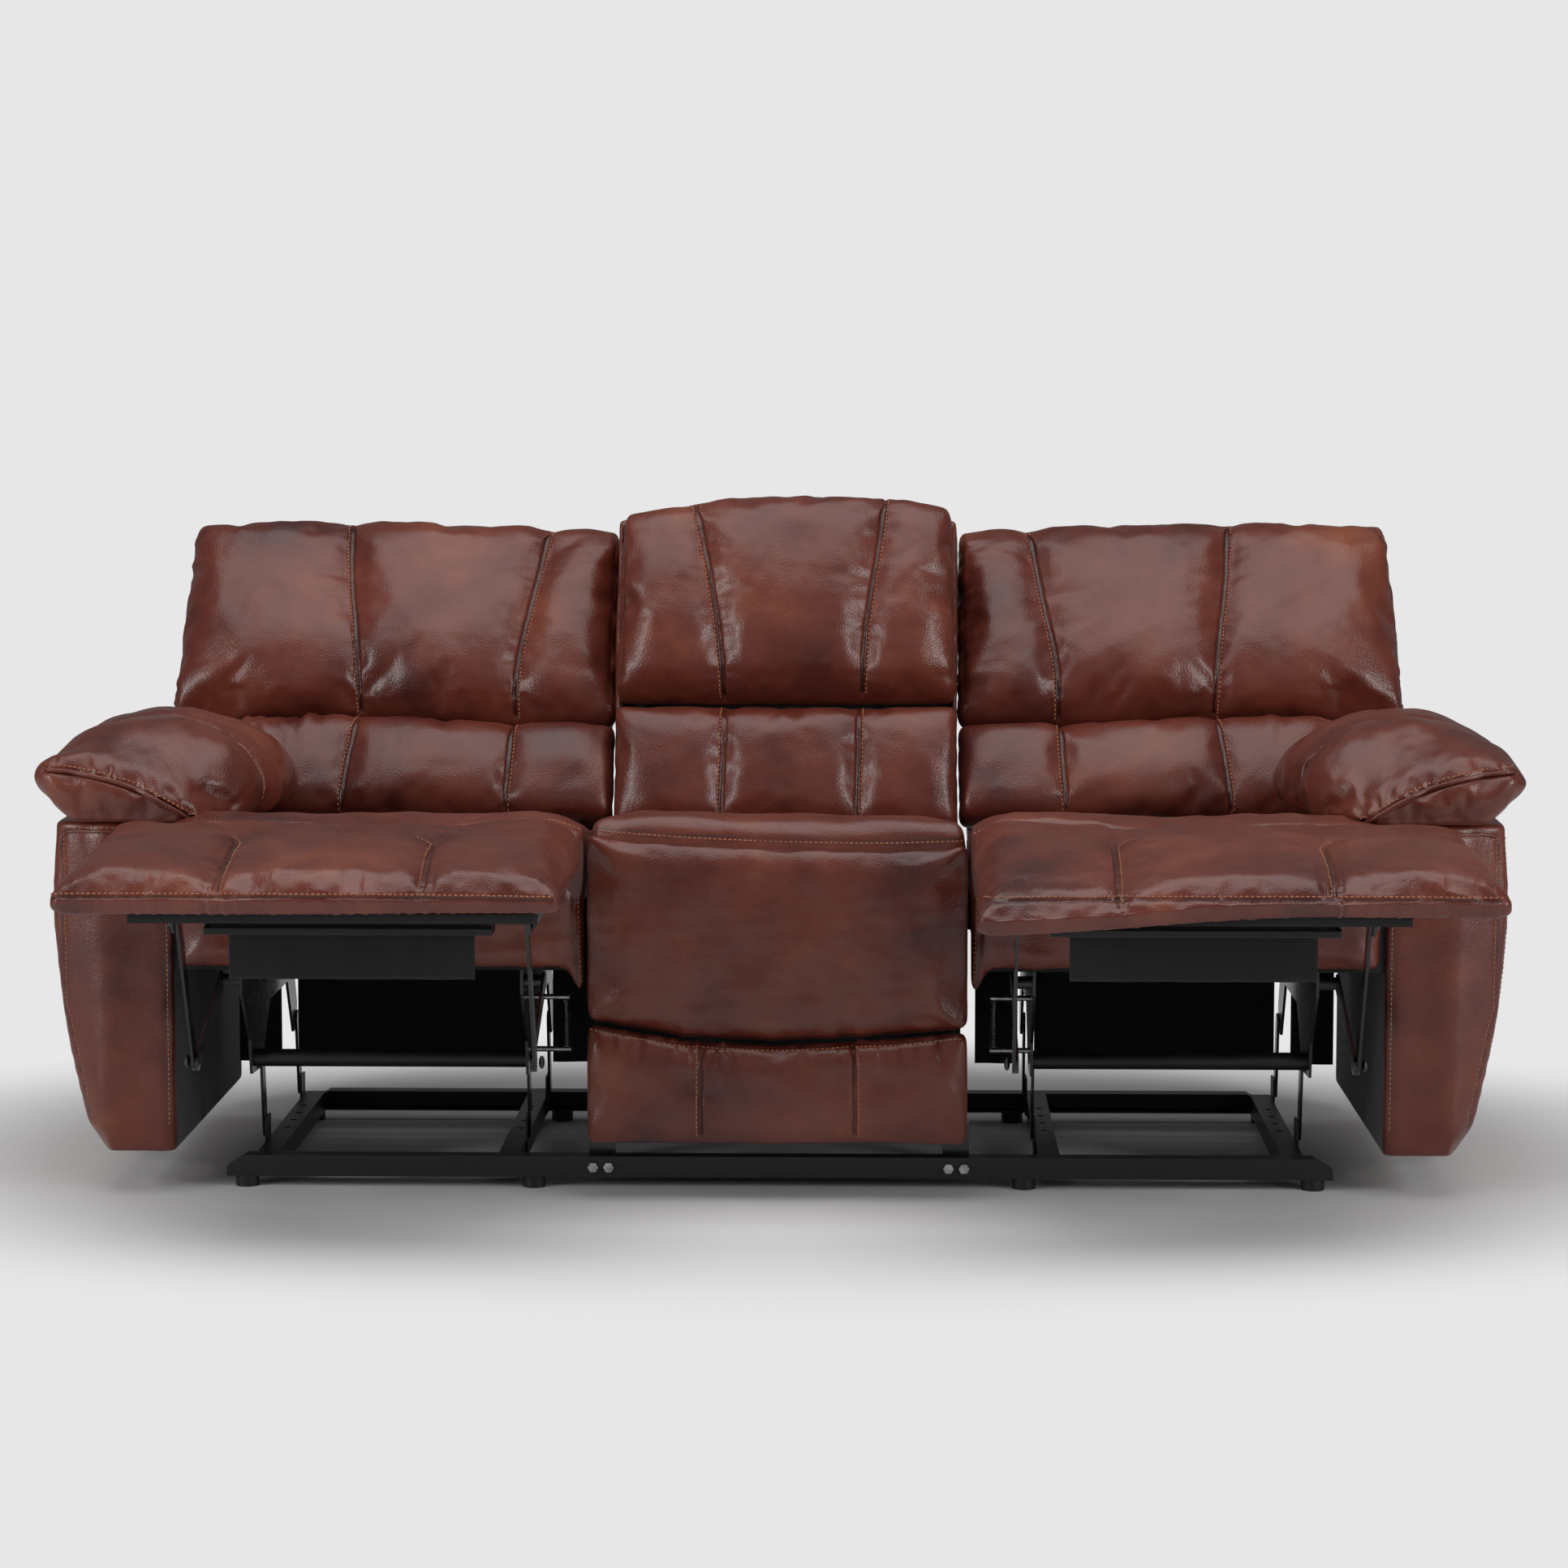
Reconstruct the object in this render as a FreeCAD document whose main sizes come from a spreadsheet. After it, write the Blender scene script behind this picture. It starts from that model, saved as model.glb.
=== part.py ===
"""Three-seat reclining sofa with two opening end seats, in millimetres.

X runs across the seats, Y from front to back and Z up.  The origin is on the floor under
the middle of the steel base.  Everything is drawn in the pose of the photograph: both end
seats are open, with their footrests out and their backs leaning, and the middle is fixed.
"""
import FreeCAD, Part
import math
import os
import re

from FreeCAD import Placement, Rotation, Vector

SIZES = {
    # steel base on the floor
    "base_width": 1564, "base_depth": 560, "rear_rail_short": 48, "rail_top": 46, "rail_height": 30,
    "rail_depth": 30, "rail_wall": 3, "foot_diameter": 33, "foot_inset": 17,
    "foot_outer": 755, "foot_inner": 347, "side_rail_offset": 172, "bolt_across": 13, "bolt_head": 6, "bolt_gap": 22,
    "bolt_place": 251,
    # glide of the end seats
    "seat_centre": 555, "swing_pivot_height": 60, "swing_front": -140, "swing_rear": 220,
    "swing_length": 110, "swing_lean": 12, "link_width": 26, "link_steel": 4,
    "plane_gap": 0.5, "pin_radius": 5, "pin_clearance": 0.1, "bracket_steel": 3,
    "tube_radius": 12.5, "link_spread": 26, "sleeve_radius": 9,
    # seat body of an end seat
    "seat_half_width": 279, "frame_half_width": 272, "frame_bottom": 318, "frame_top": 400,
    "frame_front": -325, "frame_rear": 110, "board": 25, "seat_front": -345,
    "seat_rear": 108, "seat_top": 508, "seat_crown": 14, "seat_fall": 46,
    "nose_crown": 7,
    "border_top": 402, "wire_radius": 1.8,
    # back of an end seat, measured from its hinge
    "hinge_back": 184, "hinge_height": 419, "back_tilt": 32, "back_face": 75,
    "back_thick": 150, "back_crease": 195, "back_top": 560, "back_bottom": 25,
    "post_width": 20, "back_inner": 270, "back_outer": 945, "back_between_arms": 836,
    "hinge_pin_radius": 6,
    # footrest, measured from the seam that it folds about
    "seam_front": -420, "seam_height": 507, "pad_length": 430, "pad_thick": 45,
    "pad_crown": 22, "pad_inner": 270, "pad_outer": 912, "pad_gap": 6, "quilt_length": 245,
    "bracket_pivot_out": 212, "bracket_pivot_down": 80, "link_anchor_back": 115,
    "link_anchor_down": 207, "flap_out": 240, "flap_down": 87, "flap_depth": 46,
    "flap_thick": 22, "flap_half_width": 190, "cloth_drop": 64,
    # arms
    "arm_inner": 845, "arm_outer": 1010, "arm_taper": 48, "arm_front": -340,
    "arm_rear": 290, "arm_bottom": 60, "arm_top": 526, "arm_wall": 12,
    "arm_knee": 262, "arm_knee_in": 6, "arm_pad_inner": 735, "arm_pad_outer": 1031, "arm_pad_front": -375,
    "arm_pad_rear": 88, "arm_pad_top": 624, "arm_board": 15,
    "lever_place": -150, "lever_height": 430, "lever_length": 95, "lever_width": 34,
    # fixed middle seat
    "centre_half_width": 264, "centre_panel_front": -366, "centre_bottom": 90,
    "centre_seam": 240, "centre_tilt": 17, "centre_crease": 222, "centre_back_top": 566,
    "centre_frame_half": 255, "centre_frame_back": 266, "centre_frame_front": -340,
    # return springs beside the inner side plates
    "spring_radius": 4.6, "spring_wire": 0.9, "spring_turns": 20,
    "spring_offset": 250,
}

doc = FreeCAD.newDocument("sofa")
sheet = doc.addObject("Spreadsheet::Sheet", "sizes")
for row, (alias, size) in enumerate(SIZES.items(), start=1):
    sheet.set(f"A{row}", alias)
    sheet.set(f"B{row}", str(size))
    sheet.setAlias(f"B{row}", alias)
doc.recompute()

WORDS = re.compile(r"[a-z][a-z_]*")
NODES = {}


class Sizes:
    """Reads a size from the sheet by its alias."""

    def __getattr__(self, alias):
        return float(sheet.get(alias))


size = Sizes()


def bind(text):
    """Turns plain aliases in a formula into references to the sheet."""
    def refer(match):
        word = match.group(0)
        return f"sizes.{word}" if word in SIZES else word
    return WORDS.sub(refer, str(text))


def value(text):
    """Works a formula of aliases out as a number."""
    number = sheet.evalExpression(bind(text))
    return float(getattr(number, "Value", number))


def box(x0, x1, y0, y1, z0, z1):
    """A block between six planes, each a formula of aliases."""
    made = doc.addObject("Part::Box", "block")
    for side, low, high in (("Length", x0, x1), ("Width", y0, y1), ("Height", z0, z1)):
        made.setExpression(side, bind(f"({high}) - ({low})"))
    for axis, low in (("x", x0), ("y", y0), ("z", z0)):
        made.setExpression(f"Placement.Base.{axis}", bind(low))
    return made


def rod(radius, x0, x1, y, z):
    """A round bar along X between two planes."""
    made = doc.addObject("Part::Cylinder", "rod")
    made.setExpression("Radius", bind(radius))
    made.setExpression("Height", bind(f"({x1}) - ({x0})"))
    made.Placement = Placement(Vector(), Rotation(Vector(0, 1, 0), 90))
    for axis, place in (("x", x0), ("y", y), ("z", z)):
        made.setExpression(f"Placement.Base.{axis}", bind(place))
    return made


def cut(solid, *tools):
    """The solid less each tool."""
    for tool in tools:
        made = doc.addObject("Part::Cut", "cut")
        made.Base = solid
        made.Tool = tool
        solid = made
    return solid


def fuse(*solids):
    made = doc.addObject("Part::MultiFuse", "fused")
    made.Shapes = list(solids)
    return made


def mirror(solid, x="0"):
    """The solid's copy on the other side of a plane across X."""
    made = doc.addObject("Part::Mirroring", "mirrored")
    made.Source = solid
    made.Normal = Vector(1, 0, 0)
    made.setExpression("Base.x", bind(x))
    return made


def pair(solid):
    """The solid on the outer side of an end seat and its copy on the inner side."""
    return solid, mirror(solid, "seat_centre")


def feature(shape):
    made = doc.addObject("Part::Feature", "form")
    made.Shape = shape
    return made


def node(label, *solids, place=None):
    """One sub-part: its solids, its label and its placement."""
    made = doc.addObject("Part::Compound", label)
    made.Links = list(solids)
    made.Label = label
    if place is not None:
        made.Placement = place
    NODES[label] = made
    return made


def sketch_on(body, role):
    """A new sketch on one of the body's own origin planes."""
    drawn = body.newObject("Sketcher::SketchObject", "outline")
    planes = [plane for plane in body.Origin.OriginFeatures if plane.Role == role]
    drawn.AttachmentSupport = [(planes[0], "")]
    drawn.MapMode = "FlatFace"
    return drawn


def padded(body, drawn, thick):
    made = body.newObject("PartDesign::Pad", "pad")
    made.Profile = drawn
    made.setExpression("Length", bind(thick))
    body.Tip = made
    return made


def side_place(x, y, z, angle):
    """Sets a flat part, drawn in X and Y, upright on a plane across X.

    Its own X then points along the given angle above the Y axis.
    """
    upright = Rotation(Vector(1, 1, 1), 120)
    return Placement(Vector(x, y, z), Rotation(Vector(1, 0, 0), angle).multiply(upright))


def link(x, start, end, loose=0.0):
    """A flat steel link with round ends between two pivots on a plane across X."""
    run = math.hypot(end[0] - start[0], end[1] - start[1])
    half = size.link_width / 2
    body = doc.addObject("PartDesign::Body", "link")
    drawn = sketch_on(body, "XY_Plane")
    drawn.addGeometry(Part.LineSegment(Vector(0, -half, 0), Vector(run, -half, 0)))
    drawn.addGeometry(arc((run, -half), (run + half, 0), (run, half)))
    drawn.addGeometry(Part.LineSegment(Vector(run, half, 0), Vector(0, half, 0)))
    drawn.addGeometry(arc((0, half), (-half, 0), (0, -half)))
    hole = size.pin_radius + size.pin_clearance
    for place, radius in ((0, hole), (run, hole + loose)):
        drawn.addGeometry(Part.Circle(Vector(place, 0, 0), Vector(0, 0, 1), radius))
    padded(body, drawn, "link_steel")
    angle = math.degrees(math.atan2(end[1] - start[1], end[0] - start[0]))
    body.Placement = side_place(x, start[0], start[1], angle)
    return body


def arc(first, middle, last):
    points = [Vector(point[0], point[1], 0) for point in (first, middle, last)]
    return Part.Arc(*points)


def plate(x, outline, holes, thick):
    """A flat steel plate, drawn by its corners in Y and Z, on a plane across X."""
    body = doc.addObject("PartDesign::Body", "plate")
    drawn = sketch_on(body, "XY_Plane")
    corners = list(zip(outline, outline[1:] + outline[:1]))
    for start, end in corners:
        drawn.addGeometry(Part.LineSegment(Vector(*start, 0), Vector(*end, 0)))
    for y, z, radius in holes:
        drawn.addGeometry(Part.Circle(Vector(y, z, 0), Vector(0, 0, 1), radius))
    padded(body, drawn, thick)
    body.Placement = side_place(x, 0, 0, 0)
    return body


def bulged(start, end, rise):
    """An arc from start to end that swells by rise to the right of its run."""
    run = end - start
    out = run.cross(Vector(1, 0, 0))
    out.normalize()
    return Part.Arc(start, (start + end) * 0.5 + out * rise, end).toShape()


def section(x, y0, y1, z0, z1, crown, swell, fall):
    """A cushion's outline at one place across it: flat below, swelling elsewhere.

    Its top is lower by fall at the rear.
    """
    front_low = Vector(x, y0, z0)
    rear_low = Vector(x, y1, z0)
    rear_high = Vector(x, y1, z1 - fall)
    front_high = Vector(x, y0, z1)
    return Part.Wire([
        Part.makeLine(front_low, rear_low),
        bulged(rear_low, rear_high, swell),
        bulged(rear_high, front_high, crown),
        bulged(front_high, front_low, swell),
    ])


STATIONS = (0.0, 0.06, 0.2, 0.5, 0.8, 0.94, 1.0)


def cushion(across, along, deep, crown, seams=(), swell=4.0, drawn_in=14.0, fall=0.0):
    """A stuffed cushion that lies flat, with its crown upward.

    across, along and deep are its limits in X, Y and Z, less the crown.  The cover is drawn in at both
    ends and sewn down along each seam, given as a place in X.  Its top falls towards the rear by fall.
    """
    edges = [across[0], *seams, across[1]]
    wires = []
    for left, right in zip(edges, edges[1:]):
        for share in STATIONS:
            if share == 0.0 and wires:
                continue
            x = left + share * (right - left)
            puff = math.sqrt(math.sin(math.pi * share)) if 0 < share < 1 else 0.0
            outside = x in (across[0], across[1])
            pull = drawn_in if outside else (1 - puff) * drawn_in * 0.25
            low = deep[0] + (pull * 0.5 if outside else 0)
            high = deep[1] - (pull if outside else pull * 0.5)
            rise = max(crown * (0.35 + 0.65 * puff), 2.0)
            inset = swell + pull * 0.4
            wires.append(section(x, along[0] + inset, along[1] - inset,
                                 low, high, rise, swell, fall))
    return Part.makeLoft(wires, True, True)


def leaning(hinge_y, hinge_z, tilt):
    """Stands a part that was drawn lying flat up at its hinge, leaning by tilt."""
    return Placement(Vector(0, hinge_y, hinge_z), Rotation(Vector(1, 0, 0), 90 - tilt))


def place_y_z(start, turn, length):
    """A point at a length from start, turned from straight up towards the back."""
    angle = math.radians(turn)
    return (start[0] + length * math.sin(angle), start[1] + length * math.cos(angle))


SWING_FRONT = (size.swing_front, size.swing_pivot_height)
SWING_REAR = (size.swing_rear, size.swing_pivot_height)
GLIDE_FRONT = place_y_z(SWING_FRONT, -size.swing_lean, size.swing_length)
GLIDE_REAR = place_y_z(SWING_REAR, -size.swing_lean, size.swing_length)
SEAM = (size.seam_front, size.seam_height)
ANCHOR = (SEAM[0] + size.link_anchor_back, SEAM[1] - size.link_anchor_down)
BRACKET = (SEAM[0] - size.bracket_pivot_out, SEAM[1] - size.bracket_pivot_down)
KNEE = (BRACKET[0] + size.link_anchor_back, BRACKET[1] - size.link_anchor_down)

RAIL_SIDE = size.side_rail_offset + size.rail_depth / 2
SWING_PLANE = RAIL_SIDE + size.bracket_steel + size.plane_gap
PLATE_PLANE = SWING_PLANE + size.link_steel + size.plane_gap
LOWER_PLANE = PLATE_PLANE + size.link_steel + size.link_spread
UPPER_PLANE = LOWER_PLANE + size.link_steel + size.plane_gap
BRACKET_PLANE = UPPER_PLANE + size.link_steel + size.plane_gap


def pin(start, end, place, radius="pin_radius"):
    """A pivot pin beside the seat's middle, between two planes across X."""
    return rod(radius, f"seat_centre + {start}", f"seat_centre + {end}", *place)


def base_rails():
    """The cross rails: open channels whose top corners are bevelled at both ends."""
    solids = []
    for label, front, half, hollow in (
            ("front", "-base_depth / 2", size.base_width / 2, size.rail_wall),
            ("rear", "base_depth / 2 - rail_depth", size.base_width / 2 - size.rear_rail_short,
             -size.rail_wall)):
        body = doc.addObject("PartDesign::Body", f"{label}_rail")
        drawn = sketch_on(body, "XZ_Plane")
        low = size.rail_top - size.rail_height
        bevel = size.rail_height * 0.55
        outline = [(-half, low), (half, low), (half, size.rail_top - bevel),
                   (half - 1.6 * bevel, size.rail_top),
                   (-half + 1.6 * bevel, size.rail_top), (-half, size.rail_top - bevel)]
        for start, end in zip(outline, outline[1:] + outline[:1]):
            drawn.addGeometry(Part.LineSegment(Vector(*start, 0), Vector(*end, 0)))
        padded(body, drawn, "rail_depth")
        body.setExpression("Placement.Base.y", bind(f"{front} + rail_depth"))
        inside = box("-base_width / 2 + 60", "base_width / 2 - 60",
                     f"{front} + {hollow}", f"{front} + {hollow} + rail_depth",
                     "rail_top - rail_height + rail_wall", "rail_top - rail_wall")
        solids.append(cut(body, inside))
    node("base_cross_rails", *solids)


def upright(radius, x, y, low, high):
    """A round bar along Z between two heights."""
    made = doc.addObject("Part::Cylinder", "upright")
    made.setExpression("Radius", bind(radius))
    made.setExpression("Height", bind(f"({high}) - ({low})"))
    for axis, place in (("x", x), ("y", y), ("z", low)):
        made.setExpression(f"Placement.Base.{axis}", bind(place))
    return made


def base_side_rails():
    """Four inverted channels with the brackets and pins of the swing links."""
    middle = "seat_centre + side_rail_offset"
    low = "rail_top - rail_height"
    ends = ("-base_depth / 2 + rail_depth", "base_depth / 2 - rail_depth")
    rail = box(f"{middle} - rail_depth / 2", f"{middle} + rail_depth / 2", *ends,
               low, "rail_top")
    inside = box(f"{middle} - rail_depth / 2 + rail_wall",
                 f"{middle} + rail_depth / 2 - rail_wall", *ends,
                 f"{low} - rail_wall", "rail_top - rail_wall")
    holes = [upright("pin_radius", middle, str(y), f"{low}", "rail_top + rail_wall")
             for y in (-60, 0, 60, 120)]
    rail = cut(rail, inside, *holes)
    steel = size.bracket_steel
    parts = [rail]
    for place in (SWING_FRONT, SWING_REAR):
        parts.append(box(f"seat_centre + {RAIL_SIDE}", f"seat_centre + {RAIL_SIDE + steel}",
                         f"{place[0]} - 20", f"{place[0]} + 20",
                         f"{low} + 4", f"{place[1]} + 18"))
        parts.append(pin(RAIL_SIDE + steel, SWING_PLANE + size.link_steel, place))
    outer, inner = pair(fuse(*parts))
    node("base_side_rails", outer, inner, mirror(outer), mirror(inner))


def base_feet():
    """Eight plastic feet under the ends of the side rails."""
    feet = []
    for edge, short in (("-base_depth / 2 + foot_inset", ""),
                        ("base_depth / 2 - foot_inset", " - rear_rail_short / 2")):
        for place in (f"foot_outer{short}", "foot_inner"):
            foot = upright("foot_diameter / 2", place, edge, "0", "rail_top - rail_height")
            feet.extend((foot, mirror(foot)))
    node("base_feet", *feet)


def base_bolts():
    """Hexagon heads that hold the middle seat's brackets to the cross rails."""
    heads = []
    for face, turn in (("-base_depth / 2", 90), ("base_depth / 2", -90)):
        for shift in ("-bolt_gap / 2", "bolt_gap / 2"):
            head = doc.addObject("Part::Prism", "bolt_head")
            head.Polygon = 6
            head.setExpression("Circumradius", bind("bolt_across / sqrt(3)"))
            head.setExpression("Height", bind("bolt_head"))
            head.Placement = Placement(Vector(), Rotation(Vector(1, 0, 0), turn))
            head.setExpression("Placement.Base.x", bind(f"bolt_place + {shift}"))
            head.setExpression("Placement.Base.y", bind(face))
            head.setExpression("Placement.Base.z", bind("rail_top - rail_height / 2"))
            heads.extend((head, mirror(head)))
    node("base_bolts", *heads)


def swing_links():
    """The links on which each end seat glides forward and back over the base."""
    plane = size.seat_centre + SWING_PLANE
    return {
        "front_swing_links": pair(link(plane, SWING_FRONT, GLIDE_FRONT)),
        "rear_swing_links": pair(link(plane, SWING_REAR, GLIDE_REAR)),
    }


TUBES = ((-215, 175), (155, 258))


def side_plates():
    """The steel plates under the seat frame, with the pins that the links turn on."""
    top = size.frame_bottom
    front = size.frame_front
    tube = TUBES[0]
    outline = [(front, top), (front, ANCHOR[1] - 16), (tube[0] - 34, tube[1] + 30),
               (tube[0] - 22, tube[1] - 20), (GLIDE_FRONT[0] + 14, tube[1] - 24),
               (-60, 236), (120, 236),
               (GLIDE_REAR[0] - 16, GLIDE_REAR[1] - 18),
               (GLIDE_REAR[0] + 18, GLIDE_REAR[1] - 16),
               (GLIDE_REAR[0] + 20, GLIDE_REAR[1] + 24), (150, top)]
    holes = [(y, 275, 6) for y in (-120, 0)]
    steel = plate(size.seat_centre + PLATE_PLANE, outline, holes, "link_steel")
    flange = box(f"seat_centre + {PLATE_PLANE - 22}", f"seat_centre + {PLATE_PLANE}",
                 "frame_front + board", "frame_rear - board",
                 "frame_bottom - bracket_steel", "frame_bottom")
    pins = [pin(SWING_PLANE, PLATE_PLANE, place) for place in (GLIDE_FRONT, GLIDE_REAR)]
    outer_face = PLATE_PLANE + size.link_steel
    pins.append(pin(outer_face, LOWER_PLANE - size.plane_gap, ANCHOR, "sleeve_radius"))
    pins.append(pin(LOWER_PLANE - size.plane_gap, LOWER_PLANE + size.link_steel, ANCHOR))
    return pair(fuse(steel, flange, *pins))


def cross_tubes():
    """Round tubes that hold the two side plates of a seat apart."""
    return [rod("tube_radius", f"seat_centre - {PLATE_PLANE}",
                f"seat_centre + {PLATE_PLANE}", *place) for place in TUBES]


STUDS = ((-200, 262), (-172, 182))


def return_spring():
    """An open coil between two studs on the inner side plate."""
    outer_face = PLATE_PLANE + size.link_steel
    reach = size.spring_offset + size.spring_radius
    studs = [rod("4", f"seat_centre - {reach}", f"seat_centre - {outer_face}", *place)
             for place in STUDS]
    low = Vector(size.seat_centre - size.spring_offset, *STUDS[1])
    high = Vector(size.seat_centre - size.spring_offset, *STUDS[0])
    axis = high - low
    clear = axis.Length - 2 * (4 + size.spring_wire + 0.3)
    axis.normalize()
    start = low + axis * (4 + size.spring_wire + 0.3)
    pitch = clear / size.spring_turns
    print(f"spring: gap between turns {pitch - 2 * size.spring_wire:.2f} mm")
    coil = feature(coil_of_wire(start, axis, size.spring_radius, pitch,
                                int(size.spring_turns), size.spring_wire))
    return [*studs, coil]


def biarc(start, along_start, end, along_end):
    """Two arcs that join smoothly, with the given directions at both ends."""
    chord = end - start
    both = along_start + along_end
    square = 2 * (1 - along_start.dot(along_end))
    middle = chord.dot(both)
    reach = (-middle + math.sqrt(middle ** 2 + square * chord.dot(chord))) / square
    knot = (start + end + (along_start - along_end) * reach) * 0.5
    return [arc_along(start, along_start, knot), arc_along(end, along_end * -1, knot)]


def arc_along(start, along, end):
    """The arc that leaves its start in a direction and reaches an end."""
    chord = end - start
    lean = along - chord * (along.dot(chord) / chord.dot(chord))
    half = math.atan2(lean.Length, along.dot(chord) / chord.Length)
    lean.normalize()
    sag = chord.Length / 2 * math.tan(half / 2)
    return Part.Arc(start, (start + end) * 0.5 + lean * sag, end).toShape()


def coil_of_wire(start, axis, radius, pitch, turns, wire):
    """A round wire wound evenly about an axis."""
    first = Vector(1, 0, 0)
    second = axis.cross(first)
    rise = pitch / (2 * math.pi)
    points = []
    for step in range(4 * turns + 1):
        angle = step * math.pi / 2
        out = first * math.cos(angle) + second * math.sin(angle)
        along = first * -math.sin(angle) + second * math.cos(angle)
        along = along * radius + axis * rise
        along.normalize()
        points.append((start + out * radius + axis * (rise * angle), along))
    edges = []
    for (here, going), (there, coming) in zip(points, points[1:]):
        edges.extend(biarc(here, going, there, coming))
    return tube(edges, wire, points[0])


def tube(edges, radius, first):
    """A round tube along a path that starts at a point in a direction."""
    path = Part.Wire(Part.sortEdges(edges)[0])
    ring = Part.Wire([Part.makeCircle(radius, first[0], first[1])])
    return path.makePipeShell([ring], True, False)


def sinuous_wire(x, front, rear, height, waves=16, swing=21.0):
    """A zigzag seat spring: straight runs across joined by half circles."""
    step = (rear - front) / waves
    turn = step / 2
    edges = []
    side = 1
    place = front
    start = Vector(x - side * swing, place, height)
    for _ in range(waves):
        end = Vector(x + side * swing, place, height)
        beyond = Vector(x + side * swing, place + step, height)
        bend = Vector(x + side * (swing + turn), place + turn, height)
        edges.append(Part.makeLine(start, end))
        edges.append(Part.Arc(end, bend, beyond).toShape())
        start = beyond
        side = -side
        place += step
    edges.append(Part.makeLine(start, Vector(x + side * swing, place, height)))
    return tube(edges, size.wire_radius, (Vector(x - swing, front, height), Vector(1, 0, 0)))


def seat_springs(middle, front, rear):
    height = size.frame_top + size.wire_radius
    return [feature(sinuous_wire(middle + offset, front, rear, height))
            for offset in (-165, -55, 55, 165)]


def seat_frame():
    """Boards under an end seat, with the ears that the back turns on."""
    left = "seat_centre - frame_half_width"
    right = "seat_centre + frame_half_width"
    heights = ("frame_bottom", "frame_top")
    front = box(left, "arm_inner", "frame_front", "frame_front + board", *heights)
    rear = box(f"{left} - 5", f"{right} + 5", "frame_rear - board", "frame_rear", *heights)
    spacer = box(f"{right} + 9", "arm_inner", "frame_rear - board", "frame_rear", *heights)
    sides = pair(box(f"seat_centre + {PLATE_PLANE + 4} - board",
                     f"seat_centre + {PLATE_PLANE + 4}",
                     "frame_front + board", "frame_rear - board",
                     "frame_bottom", "frame_top - 30"))
    hinge = (size.hinge_back, size.hinge_height)
    rear_low = (size.frame_rear - size.board, size.frame_bottom + 4)
    outline = [rear_low, (rear_low[0], size.frame_top), (size.frame_rear, size.frame_top),
               (hinge[0] - 34, hinge[1] + 24),
               (hinge[0] + 20, hinge[1] + 24), (hinge[0] + 20, hinge[1] - 26),
               (size.frame_rear + 20, rear_low[1])]
    ear_plane = size.frame_half_width + 5
    ear = plate(size.seat_centre + ear_plane, outline, [], "link_steel")
    ears = pair(fuse(ear, pin(ear_plane - 30, ear_plane, hinge, "hinge_pin_radius")))
    return [front, rear, spacer, *sides, *ears]


def seat_cushion():
    """The stuffed seat with the nose that reaches forward to the footrest's seam."""
    across = (size.seat_centre - size.seat_half_width,
              size.seat_centre + size.seat_half_width)
    low = size.frame_top + 2 * size.wire_radius + 0.4
    main = cushion(across, (size.seat_front + 2, size.seat_rear), (low, size.seat_top),
                   size.seat_crown, fall=size.seat_fall)
    nose = cushion(across, (size.seam_front + 4, size.seat_front + 10),
                   (size.seat_top + 0.5, size.seat_top + 10), size.nose_crown, swell=2,
                   drawn_in=4)
    return [feature(main), feature(nose)]


def front_border():
    """The upholstered strip in front of the seat frame."""
    return [box("seat_centre - seat_half_width", "seat_centre + seat_half_width",
                "seat_front", "frame_front", "frame_bottom", "border_top")]


def footrest():
    """The footrest: two stuffed pads on a board, its steel brackets and its flap."""
    across = (size.pad_inner, size.pad_outer)
    deep = (size.seam_height - size.pad_thick, size.seam_height)
    far = size.seam_front - size.pad_length
    split = far + size.quilt_length
    width = size.pad_outer - size.pad_inner
    seams = [size.pad_inner + share * width for share in (0.27, 0.68)]
    smooth = cushion(across, (split + 1, size.seam_front - size.pad_gap), deep,
                     size.pad_crown, drawn_in=8)
    quilted = cushion(across, (far, split - 1), deep, size.pad_crown - 6, seams,
                      drawn_in=10)
    board = box("seat_centre - 262", "seat_centre + 262", f"{far} + 18",
                "seam_front - 60", "seam_height - pad_thick - 12",
                "seam_height - pad_thick")
    low = size.seam_height - size.pad_thick - 12
    arm = plate(size.seat_centre + BRACKET_PLANE,
                [(BRACKET[0] - 40, low), (BRACKET[0] - 15, BRACKET[1] - 15),
                 (BRACKET[0] + 15, BRACKET[1] - 15), (BRACKET[0] + 24, low)],
                [], "link_steel")
    flange = box(f"seat_centre + {BRACKET_PLANE}", f"seat_centre + {BRACKET_PLANE + 24}",
                 f"{BRACKET[0]} - 40", f"{BRACKET[0]} + 24", f"{low} - 3", f"{low}")
    steel = fuse(arm, flange, pin(UPPER_PLANE, BRACKET_PLANE, BRACKET))
    flap_y = SEAM[0] - size.flap_out
    flap_z = SEAM[1] - size.flap_down
    flap = box("seat_centre - flap_half_width", "seat_centre + flap_half_width",
               f"{flap_y} - flap_depth / 2", f"{flap_y} + flap_depth / 2",
               f"{flap_z} - flap_thick / 2", f"{flap_z} + flap_thick / 2")
    hanger = box("seat_centre + flap_half_width - 12", "seat_centre + flap_half_width - 8",
                 f"{flap_y} - 15", f"{flap_y} + 15", f"{flap_z + size.flap_thick / 2}",
                 f"{low}")
    cloth_y = flap_y + size.flap_depth / 2 - 4
    cloth = box("seat_centre - flap_half_width + 27", "seat_centre + flap_half_width - 27",
                f"{cloth_y} - 1.5", f"{cloth_y}",
                f"{flap_z - size.flap_thick / 2} - cloth_drop",
                f"{flap_z} - flap_thick / 2")
    return {
        "footrest_pad": [feature(smooth), feature(quilted)],
        "footrest_board": [board],
        "footrest_brackets": pair(steel),
        "mid_flap": [flap, *pair(hanger), cloth],
    }


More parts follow.
